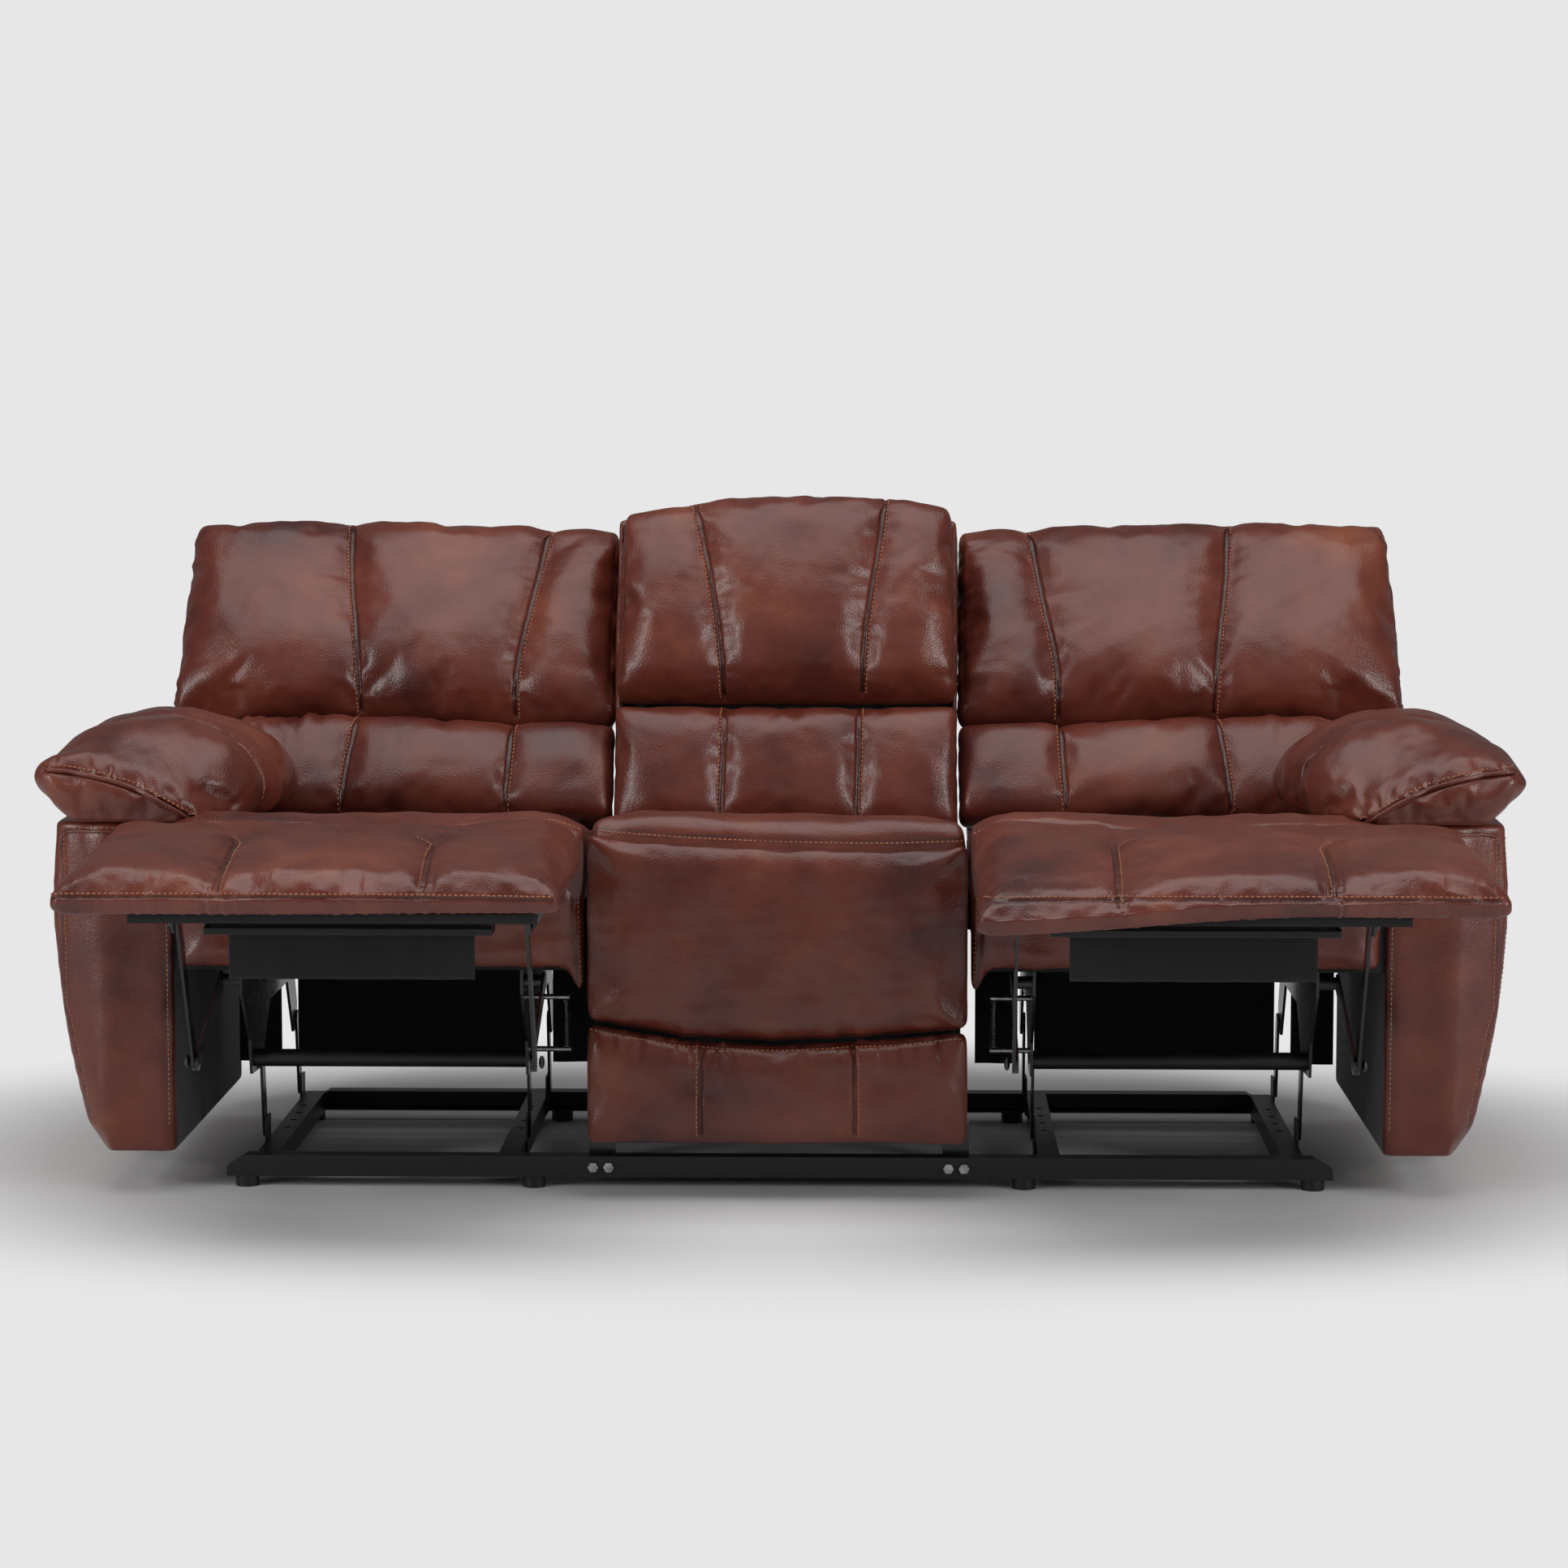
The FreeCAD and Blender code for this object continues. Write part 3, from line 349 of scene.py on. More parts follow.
def apply(piece, kind, **settings):
    """Adds one modifier with its settings and applies it."""
    only(piece)
    modifier = piece.modifiers.new("work", kind)
    for key, value in settings.items():
        setattr(modifier, key, value)
    bpy.ops.object.modifier_apply(modifier=modifier.name)


def plump(piece, held, pressure=4.0, cap=0.018, slack=0.0, frames=20):
    """Fills the piece as a cushion: cloth under pressure, sewn down where held."""
    rest = places(piece)
    group = piece.vertex_groups.new(name="held")
    group.add([int(i) for i in np.nonzero(held)[0]], 1.0, "REPLACE")
    modifier = piece.modifiers.new("filling", "CLOTH")
    cloth = modifier.settings
    cloth.use_pressure = True
    cloth.uniform_pressure_force = pressure
    cloth.vertex_group_mass = "held"
    cloth.shrink_min = -slack
    cloth.effector_weights.gravity = 0.0
    modifier.point_cache.frame_start = 1
    modifier.point_cache.frame_end = frames
    scene = bpy.context.scene
    for number in range(1, frames + 1):
        scene.frame_set(number)
    shown = piece.evaluated_get(bpy.context.evaluated_depsgraph_get())
    found = np.empty(len(rest) * 3)
    shown.data.vertices.foreach_get("co", found)
    moved = found.reshape(-1, 3) - rest
    length = np.linalg.norm(moved, axis=1)
    moved *= np.minimum(1.0, cap / np.maximum(length, 1e-9))[:, None]
    piece.modifiers.remove(modifier)
    piece.vertex_groups.remove(group)
    set_places(piece, rest + moved)
    scene.frame_set(1)


def finer(piece):
    """One level of smooth subdivision, and room for the seam mark of painted shade and the crease mark."""
    apply(piece, "SUBSURF", levels=1, render_levels=1)
    for name in ("seam", "crease"):
        piece.data.attributes.new(name, "FLOAT", "POINT")


def mark(piece, name, amount):
    """Raises the piece's mark of that name to the given amount, point by point."""
    layer = piece.data.attributes.get(name)
    before = np.empty(len(amount), np.float32)
    layer.data.foreach_get("value", before)
    layer.data.foreach_set("value", np.maximum(before, amount).astype(np.float32))


def waves(points, seed, length, stretch=(1, 1, 1), count=9):
    """Smooth seeded unevenness between about -1 and 1, with bumps of that length in m."""
    chance = np.random.default_rng(seed)
    total = np.zeros(len(points))
    for _ in range(count):
        heading = chance.normal(size=3)
        heading *= 2 * math.pi / (np.linalg.norm(heading) * length)
        heading *= chance.uniform(0.6, 1.6)
        total += np.sin(points @ (heading / np.array(stretch)) + chance.uniform(0, 6.3))
    return total / math.sqrt(count)


def slope(value, low, high):
    """0 below low, 1 above high and smooth between."""
    share = np.clip((np.asarray(value, float) - low) / (high - low), 0, 1)
    return share * share * (3 - 2 * share)


def dense(path, step=0.002):
    """The path's points, evenly close together, and their places along it."""
    path = np.asarray(path, float)
    runs = np.linalg.norm(np.diff(path, axis=0), axis=1)
    along = np.concatenate([[0], np.cumsum(runs)])
    marks = np.arange(0, along[-1], step)
    return np.stack([np.interp(marks, along, path[:, k]) for k in range(3)], 1), marks


def curve_through(path, step=10.0):
    """Smooth points in mm through a few given ones."""
    path = np.asarray(path, float)
    count = len(path)
    result = []
    for i in range(count - 1):
        before, start = path[max(i - 1, 0)], path[i]
        end, after = path[i + 1], path[min(i + 2, count - 1)]
        pieces = max(2, int(np.linalg.norm(end - start) / step))
        for t in np.linspace(0, 1, pieces, endpoint=False):
            result.append(0.5 * (2 * start + (end - before) * t
                                 + (2 * before - 5 * start + 4 * end - after) * t * t
                                 + (3 * start - before - 3 * end + after) * t ** 3))
    result.append(path[-1])
    return np.array(result)


def on_surface(piece, path, heading):
    """The path's points cast on the piece along a heading, with the normals there."""
    mesh = piece.data
    tree = BVHTree.FromPolygons([v.co for v in mesh.vertices],
                                [p.vertices for p in mesh.polygons])
    heading = Vector(heading).normalized()
    hits, facing = [], []
    for point in path:
        origin = Vector(point) - heading * 0.12
        hit, normal, _, _ = tree.ray_cast(origin, heading, 0.4)
        if hit is None:
            hit, normal, _, _ = tree.find_nearest(Vector(point))
        hits.append(hit[:])
        facing.append(normal[:])
    return np.array(hits), np.array(facing)


def nearest_on(path, points):
    """How far each point is from the path, and how far along it the nearest place is."""
    line, marks = dense(path)
    low, high = line.min(0) - 0.09, line.max(0) + 0.09
    near = np.nonzero(((points > low) & (points < high)).all(1))[0]
    far = np.full(len(points), 9.0)
    along = np.zeros(len(points))
    for chunk in np.array_split(near, max(1, len(near) // 3000)):
        if len(chunk) == 0:
            continue
        gap = np.linalg.norm(points[chunk][:, None] - line[None], axis=2)
        best = gap.argmin(1)
        far[chunk] = gap[np.arange(len(chunk)), best]
        along[chunk] = marks[best]
    return far, along


def sew(piece, path, heading, body, depth=5.0, width=4.0, pull=2.0, pull_width=16.0,
        pucker=0.0, spacing=17.0, reach=34.0, seed=1, stitch_side=0.0, stitch_gap=5.5,
        welt=0.0):
    """Sews the piece down along a path, given in metres and cast on it along heading.

    stitch_side is 1 or -1 for a row of stitches on that side, or 0 for none.
    welt is the radius in mm of a piping laid in the seam."""
    hits, _ = on_surface(piece, path, heading)
    points, facing = places(piece), normals(piece)
    far, along = nearest_on(hits, points)
    towards = -np.array(Vector(heading).normalized())
    shown = slope(facing @ towards, -0.2, 0.15)
    far_mm = far * 1000
    groove = depth * np.exp(-(far_mm / width) ** 2)
    valley = pull * np.exp(-(far_mm / pull_width) ** 2)
    shift = -(groove + valley)
    if pucker:
        line = np.stack([along, np.zeros_like(along), np.zeros_like(along)], 1)
        ripple = waves(line, seed, spacing * MM, count=7)
        ripple = np.sign(ripple) * np.abs(ripple) ** 1.3
        fade = np.exp(-(far_mm / reach) ** 2) * (1 - np.exp(-(far_mm / 5.0) ** 2))
        shift += pucker * ripple * fade
        mark(piece, "crease", (np.exp(-(far_mm / (reach * 1.5)) ** 2) * shown * 0.9))
    set_places(piece, points + facing * (shift * shown * MM)[:, None])
    # The seam mark paints shade into the leather's colour along the groove.
    mark(piece, "seam", 0.7 * np.exp(-(far_mm / (width * 0.62)) ** 2) * shown)
    if stitch_side:
        stitch_along(piece, hits, heading, body, stitch_side, stitch_gap)
    if welt:
        line, facing_line = on_surface(piece, hits, heading)
        piping_rows.setdefault(body, []).append((line + facing_line * welt * 0.9 * MM,
                                                 welt))


def stitch_along(piece, path, heading, body, side, gap, pitch=7.0):
    """Keeps the places of stitches beside a path, cast on the finished piece."""
    line, _ = dense(path, pitch * MM)
    if len(line) < 3:
        return
    tangent = np.gradient(line, axis=0)
    tangent /= np.maximum(np.linalg.norm(tangent, axis=1), 1e-9)[:, None]
    across = np.cross(tangent, -np.array(Vector(heading).normalized()))
    across /= np.maximum(np.linalg.norm(across, axis=1), 1e-9)[:, None]
    beside = line + across * side * gap * MM
    hits, facing = on_surface(piece, beside, heading)
    rows = stitch_rows.setdefault(body, [])
    for hit, normal, along in zip(hits, facing, tangent):
        rows.append((hit, normal, along))


def stitch_mesh(name, body):
    """All the stitches on a body as one piece: short low thread bars."""
    points, faces = [], []
    for hit, normal, along in stitch_rows[body]:
        across = np.cross(normal, along)
        across /= max(np.linalg.norm(across), 1e-9)
        start = len(points)
        for t, wide, high in ((-2.7, 0.4, -0.3), (-1.4, 1.15, 1.1), (1.4, 1.15, 1.1),
                              (2.7, 0.4, -0.3)):
            centre = hit * 1000 + along * t
            points.append(centre + across * wide + normal * high * 0.2)
            points.append(centre + normal * (high + 0.25))
            points.append(centre - across * wide + normal * high * 0.2)
            points.append(centre - normal * 0.6)
        for ring in range(3):
            for k in range(4):
                a, b = start + ring * 4 + k, start + ring * 4 + (k + 1) % 4
                faces.append([a, a + 4, b + 4, b])
        faces.append([start, start + 1, start + 2, start + 3])
        faces.append([start + 15, start + 14, start + 13, start + 12])
    piece = make_piece(name, points, faces, material="thread")
    only(piece)
    bpy.ops.object.mode_set(mode="EDIT")
    bpy.ops.mesh.select_all(action="SELECT")
    bpy.ops.mesh.normals_make_consistent(inside=False)
    bpy.ops.object.mode_set(mode="OBJECT")
    return piece


def piping_mesh(name, body):
    """All the piping on a body as one piece: leather rolled round a cord."""
    points, faces = [], []
    around = 8
    for line, radius in piping_rows[body]:
        line = dense(line, 0.006)[0] * 1000
        tangent = np.gradient(line, axis=0)
        tangent /= np.linalg.norm(tangent, axis=1)[:, None]
        side = np.cross(tangent, [0.31, 0.52, 0.8])
        side /= np.linalg.norm(side, axis=1)[:, None]
        up = np.cross(tangent, side)
        start = len(points)
        last = len(line) - 1
        for i in range(len(line)):
            girth = radius * (0.45 if i in (0, last) else 1.0)
            for k in range(around):
                turn = 2 * math.pi * k / around
                points.append(line[i] + girth * (side[i] * math.cos(turn)
                                                 + up[i] * math.sin(turn)))
        for i in range(last):
            for k in range(around):
                a, b = start + i * around + k, start + i * around + (k + 1) % around
                faces.append([a, b, b + around, a + around])
        faces.append([start + k for k in range(around)][::-1])
        faces.append([start + last * around + k for k in range(around)])
    piece = make_piece(name, points, faces)
    only(piece)
    bpy.ops.object.mode_set(mode="EDIT")
    bpy.ops.mesh.select_all(action="SELECT")
    bpy.ops.mesh.normals_make_consistent(inside=False)
    bpy.ops.object.mode_set(mode="OBJECT")
    return piece


def lean(points, tilt):
    """Local places (across, up the back, out of the back) in mm as places in the row."""
    points = np.asarray(points, float)
    x, v, n = points[:, 0], points[:, 1], points[:, 2]
    turn = math.radians(tilt)
    return np.stack([x, HINGE_Y + v * math.sin(turn) - n * math.cos(turn),
                     HINGE_Z + v * math.cos(turn) + n * math.sin(turn)], 1)


def flat_path(points, sign=1):
    """A path in metres from places in mm, mirrored in X where sign is -1."""
    path = np.array(points, float) * MM
    path[:, 0] *= sign
    return path


def into_back(tilt):
    """The heading straight into a back that leans by tilt."""
    turn = math.radians(tilt)
    return (0.0, math.cos(turn), -math.sin(turn))


def panels(x, marks, bulge):
    """How far each panel between the marks swells, most at its middle."""
    total = np.zeros_like(x)
    for low, high in zip(marks, marks[1:]):
        share = np.clip((x - low) / (high - low), 0, 1)
        total += bulge * np.sin(math.pi * share) ** 0.8 * ((x >= low) & (x < high))
    return total


# Backs
LEFT_SEAM = ([226, 280, 334, 385, 436, 485, 533], [-93, -96.5, -102, -110, -119, -129, -139])
RIGHT_SEAM = ([227, 280, 335, 385, 436, 485, 538], [115, 117, 121, 128, 136, 143, 149])
FIRST_SEAM = ([200, 240, 283, 330, 382, 430, 482, 540],
              [414.5, 413, 410, 402.5, 393, 385.5, 378.5, 370])
SECOND_SEAM = ([210, 280, 350, 395, 438, 485, 535], [650, 655, 662, 669, 674, 677.5, 680])
def end_back_upper(side, sign):
    """The upper back cushion of an end seat: a long pillow in three panels."""
    marks = [258.0, 388.0, 668.0, 934.0]
    lines = (spaced(marks, 9.0), spaced([197.0, 226.0, 548.0], 9.0, (4.0, 9.0)),
             spaced([28.5, 76.0], 9.0))
    points, share, faces = soft_box(lines, (12, 30, 23))
    x, v, n = points.T.copy()
    front = share[:, 2]
    inner = np.interp(v, [200, 440, 520], [259, 259, 263])
    first = np.interp(v, *FIRST_SEAM)
    second = np.interp(v, *SECOND_SEAM)
    outer = np.interp(v, [197, 380, 440, 506, 545], [938, 937, 933, 929, 922])
    across = np.array([np.interp(a, marks, b) for a, b in
                       zip(x, np.stack([inner, first, second, outer], 1))])
    rise = np.interp(v, [197, 214, 250, 320, 420, 500, 548],
                     [-14, 4, 22, 28, 21, 9, -4])
    ends = slope(x, 252, 330) * slope(-x, -942, -860)
    swell = rise * (0.35 + 0.65 * ends) + panels(x, marks, 7.0)
    swell += 2.2 * waves(points * MM, 11 + sign, 0.16)
    n = n + front * swell
    crease = np.interp(x, [262, 408, 650, 933], [-5, 2, 13, 8])
    top = np.interp(x, [266, 370, 523, 680, 850, 934], [-16, -9, 2, 4, 0, -2])
    v = v + crease * (1 - slope(v, 197, 300)) + top * slope(v, 440, 548)
    piece = make_piece(f"{side}_back_upper", lean(np.stack([across, v, n], 1), END_TILT),
                       faces, sign)
    seam_lines = (np.abs(x - marks[1]) < 1) | (np.abs(x - marks[2]) < 1)
    held = (front < 0.3) | (seam_lines & (front > 0.8)) | (v < 207)
    plump(piece, held, 4.0, 0.014, slack=0.02)
    finer(piece)
    body = f"{side}_back"
    heading = into_back(END_TILT)
    rows_of_folds(piece, heading, 71 + sign)
    inner_seam = [(np.interp(v, *FIRST_SEAM), v, 90) for v in range(548, 202, -8)]
    outer_seam = [(np.interp(v, *SECOND_SEAM), v, 90) for v in range(550, 208, -8)]
    for path, stitch in ((inner_seam, -sign), (outer_seam, sign)):
        route = flat_path(lean(path, END_TILT), sign)
        sew(piece, route, heading, body, depth=4.0, width=2.6, pull=4.5,
            pull_width=22, stitch_side=-stitch, pucker=0.5, reach=18, spacing=12)
    edge = curve_through([(270, 520, 80), (268, 440, 90), (270, 330, 95),
                          (270, 235, 80)])
    sew(piece, flat_path(lean(edge, END_TILT), sign), heading, body, depth=2.5,
        width=3.4, pull=1.0, pucker=2.6, spacing=34, reach=42, seed=5 + sign,
        stitch_side=0)
    corner = curve_through([(900, 540, 60), (925, 480, 60), (934, 350, 60),
                            (934, 215, 60)])
    sew(piece, flat_path(lean(corner, END_TILT), sign), heading, body, depth=0.5,
        width=3.4, pull=0.5, pucker=1.6, spacing=30, reach=52, seed=9 + sign)
    finish_padded(piece, body, f"{side}_back_upper_cushion")


def rows_of_folds(piece, heading, seed, size=0.0006):
    """Soft folds and dents all over a cushion's shown face."""
    points, facing = places(piece), normals(piece)
    shown = slope(facing @ -np.array(heading), -0.1, 0.6)
    bumps = waves(points, seed, 0.07) * size + waves(points, seed + 1, 0.03) * size * 0.3
    set_places(piece, points + facing * (bumps * shown)[:, None])


def finish_padded(piece, body, node):
    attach(piece, body)
    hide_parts(*([node] if isinstance(node, str) else node))


def end_back_lower(side, sign):
    """The lower back cushion of an end seat, between the arm and the middle seat."""
    marks = [263.0, 417.0, 660.0, 836.0]
    lines = (spaced(marks, 9.0), spaced([26.0, 192.0], 9.0), spaced([28.5, 80.0], 9.0))
    points, share, faces = soft_box(lines, (10, 20, 24))
    x, v, n = points.T.copy()
    front = share[:, 2]
    first = np.interp(v, [30, 115, 195], [422, 417, 415])
    second = np.interp(v, [30, 114, 197], [668, 661, 650])
    across = np.array([np.interp(a, marks, b) for a, b in
                       zip(x, np.stack([np.full(len(x), 261.0), first, second,
                                        np.full(len(x), 836.0)], 1))])
    rise = np.interp(v, [26, 60, 110, 160, 192], [10, 22, 24, 18, 2])
    ends = slope(x, 256, 320) * slope(-x, -842, -790)
    n = n + front * (rise * (0.45 + 0.55 * ends) + panels(x, marks, 6.0)
                     + 2.0 * waves(points * MM, 31 + sign, 0.15))
    crease = np.interp(x, [262, 408, 650, 836], [-4, 2, 14, 12])
    v = v + crease * slope(v, 110, 192)
    piece = make_piece(f"{side}_back_lower", lean(np.stack([across, v, n], 1), END_TILT),
                       faces, sign)
    seam_lines = (np.abs(x - marks[1]) < 1) | (np.abs(x - marks[2]) < 1)
    held = (front < 0.3) | (seam_lines & (front > 0.8))
    plump(piece, held, 4.0, 0.010, slack=0.02)
    finer(piece)
    body = f"{side}_back"
    heading = into_back(END_TILT)
    rows_of_folds(piece, heading, 41 + sign)
    inner_seam = curve_through([(415, 193, 90), (417, 115, 90), (422, 34, 90)])
    outer_seam = curve_through([(650, 200, 90), (661, 114, 90), (668, 34, 90)])
    for path, stitch in ((inner_seam, -sign), (outer_seam, sign)):
        sew(piece, flat_path(lean(path, END_TILT), sign), heading, body, depth=4.0,
            width=2.6, pull=4.0, pull_width=20, stitch_side=-stitch, pucker=0.5,
            reach=16, spacing=12)
    upper_corner = curve_through([(700, 200, 80), (760, 196, 80), (825, 180, 80)])
    sew(piece, flat_path(lean(upper_corner, END_TILT), sign), heading, body, depth=0.5,
        pull=0.5, pucker=3.0, spacing=32, reach=48, seed=3 + sign)
    finish_padded(piece, body, f"{side}_back_lower_cushion")


def centre_back_pieces():
    """The two cushions of the middle back, the upper one with an arched top."""
    heading = into_back(CENTRE_TILT)
    marks = [-262.0, -117.0, 132.0, 262.0]
    lines = (spaced(marks, 9.0), spaced([225.0, 250.0, 548.0], 9.0, (4.0, 9.0)),
             spaced([28.5, 76.0], 9.0))
    points, share, faces = soft_box(lines, (12, 30, 23))
    x, v, n = points.T.copy()
    front = share[:, 2]
    first = np.interp(v, *LEFT_SEAM)
    second = np.interp(v, *RIGHT_SEAM)
    width = np.interp(v, [225, 300, 436, 545], [257, 257, 256, 248])
    across = np.array([np.interp(a, marks, b) for a, b in
                       zip(x, np.stack([-width, first, second, width + 1], 1))])
    rise = np.interp(v, [225, 240, 275, 340, 430, 500, 548],
                     [-14, 4, 22, 29, 23, 10, -4])
    ends = slope(np.abs(x), 270, 200)
    n = n + front * (rise * (0.4 + 0.6 * ends) + panels(x, marks, 6.0)
                     + 2.0 * waves(points * MM, 51, 0.16))
    top = np.interp(x, [-250, -139, -62, 25, 149, 250], [-26, -12, 4, 8, 0, -16])
    v = v + top * slope(v, 400, 548)
    upper = make_piece("centre_back_upper", lean(np.stack([across, v, n], 1), CENTRE_TILT),
                       faces)
    seam_lines = (np.abs(x - marks[1]) < 1) | (np.abs(x - marks[2]) < 1)
    plump(upper, (front < 0.3) | (seam_lines & (front > 0.8)) | (v < 233), 4.0, 0.014,
          slack=0.02)
    finer(upper)
    rows_of_folds(upper, heading, 61)
    left = [(np.interp(v, *LEFT_SEAM), v, 90) for v in range(545, 228, -8)]
    right = [(np.interp(v, *RIGHT_SEAM), v, 90) for v in range(548, 228, -8)]
    for path, stitch in ((left, 1), (right, -1)):
        sew(upper, flat_path(lean(path, CENTRE_TILT)), heading, "base", depth=4.0,
            width=2.6, pull=4.0, pull_width=22, stitch_side=stitch, pucker=0.5,
            reach=18, spacing=12)
    for edge, seed in ((-246, 3), (252, 4)):
        path = curve_through([(edge, 500, 80), (edge, 400, 80), (edge, 260, 80)])
        sew(upper, flat_path(lean(path, CENTRE_TILT)), heading, "base", depth=0.5,
            pull=0.5, pucker=2.4, spacing=36, reach=44, seed=seed)
    finish_padded(upper, "base", "centre_back_upper_cushion")

    marks = [-260.0, -96.0, 109.0, 260.0]
    lines = (spaced(marks, 9.0), spaced([26.0, 219.0], 9.0), spaced([28.5, 80.0], 9.0))
    points, share, faces = soft_box(lines, (10, 20, 24))
    x, v, n = points.T.copy()
    front = share[:, 2]
    rise = np.interp(v, [26, 60, 120, 180, 219], [8, 18, 22, 16, 2])
    ends = slope(np.abs(x), 270, 205)
    n = n + front * (rise * (0.5 + 0.5 * ends) + panels(x, marks, 5.0)
                     + 1.6 * waves(points * MM, 67, 0.15))
    lower = make_piece("centre_back_lower",
                       lean(np.stack([x * 0.992 + 1, v, n], 1), CENTRE_TILT), faces)
    seam_lines = (np.abs(x - marks[1]) < 1) | (np.abs(x - marks[2]) < 1)
    plump(lower, (front < 0.3) | (seam_lines & (front > 0.8)), 4.0, 0.010, slack=0.02)
    finer(lower)
    rows_of_folds(lower, heading, 68)
    for path, stitch in (([(-92, 218, 90), (-94, 120, 90), (-97, 34, 90)], 1),
                         ([(111, 218, 90), (110, 120, 90), (108, 34, 90)], -1)):
        sew(lower, flat_path(lean(curve_through(path), CENTRE_TILT)), heading, "base",
            depth=4.0, width=2.6, pull=4.0, pull_width=20, stitch_side=stitch,
            pucker=0.5, reach=16, spacing=12)
    finish_padded(lower, "base", "centre_back_lower_cushion")


def from_node(name, node, voxel=0.006, smooth=6):
    """A softened leather copy of a CAD cover."""
    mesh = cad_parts[node].data.copy()
    mesh.name = name
    mesh.materials.clear()
    piece = bpy.data.objects.new(name, mesh)
    bpy.context.scene.collection.objects.link(piece)
    mesh.materials.append(materials()["leather"])
    work = bmesh.new()
    work.from_mesh(mesh)
    bmesh.ops.remove_doubles(work, verts=work.verts, dist=1e-5)
    work.to_mesh(mesh)
    work.free()
    for attribute in list(mesh.attributes):
        if attribute.name not in ("position", ".edge_verts", ".corner_vert",
                                  ".corner_edge", "material_index"):
            try:
                mesh.attributes.remove(attribute)
            except RuntimeError:
                pass
    apply(piece, "REMESH", mode="VOXEL", voxel_size=voxel)
    apply(piece, "SMOOTH", factor=0.5, iterations=smooth)
    piece.data.shade_smooth()
    for mark_name in ("seam", "crease"):
        piece.data.attributes.new(mark_name, "FLOAT", "POINT")
    return piece


END_TOP = ([266, 370, 523, 680, 850, 941], [-16, -9, 0, 0, -8, -30])
CENTRE_TOP = ([-262, -200, -62, 25, 149, 220, 262], [-36, -24, 0, 2, -10, -26, -36])


def arched(points, tilt, table, sign=1):
    """Places in metres with the top of a back brought down to its arched line."""
    turn = math.radians(tilt)
    y, z = points[:, 1] * 1000 - HINGE_Y, points[:, 2] * 1000 - HINGE_Z
    up_back = y * math.sin(turn) + z * math.cos(turn)
    across = points[:, 0] * 1000 * sign
    drop = np.interp(across, *table) * slope(up_back, 420, 535) * MM
    moved = points.copy()
    moved[:, 1] += drop * math.sin(turn)
    moved[:, 2] += drop * math.cos(turn)
    if tilt == END_TILT:
        moved[:, 0] -= sign * 0.012 * slope(across, 880, 941) * slope(up_back, 440, 545)
    return moved


def back_frames():
    """The hidden boards of the backs, cut to the arched line of their covers."""
    for name, node, body, tilt, table, sign in (
            ("right_back_boards", "right_back_frame", "right_back", END_TILT, END_TOP, 1),
            ("left_back_boards", "left_back_frame", "left_back", END_TILT, END_TOP, -1),
            ("centre_back_boards", "centre_back_frame", "base", CENTRE_TILT,
             CENTRE_TOP, 1)):
        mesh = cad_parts[node].data.copy()
        mesh.materials.clear()
        piece = bpy.data.objects.new(name, mesh)
        bpy.context.scene.collection.objects.link(piece)
        mesh.materials.append(materials()["cloth"])
        set_places(piece, arched(places(piece), tilt, table, sign))
        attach(piece, body)
        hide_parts(node)


def back_covers():
    """The outside covers of the three backs, with a seam down each corner."""
    for name, node, body, tilt, low, high in (
            ("right_back_cover", "right_back_outside", "right_back", END_TILT, 274, 941),
            ("left_back_cover", "left_back_outside", "left_back", END_TILT, -941, -274),
            ("centre_back_cover", "centre_back_outside", "base", CENTRE_TILT, -258, 258)):
        piece = from_node(name, node)
        sign = -1 if name.startswith("left") else 1
        table = CENTRE_TOP if body == "base" else END_TOP
        points, facing = arched(places(piece), tilt, table, sign), normals(piece)
        bumps = waves(points, 17, 0.22) * 0.0015 + waves(points, 19, 0.05) * 0.0003
        set_places(piece, points + facing * bumps[:, None])
        heading = tuple(-c for c in into_back(tilt))
        middle = (low + high) / 2
        for x in (low + 26, middle, high - 26):
            path = [(x, v, -75) for v in range(70, 540, 20)]
            sew(piece, flat_path(lean(path, tilt)), heading, body, depth=2.6, width=4.0,
                pull=1.0, stitch_side=1 if x < middle else -1, pucker=0.4, reach=20)
        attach(piece, body)
        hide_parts(node)


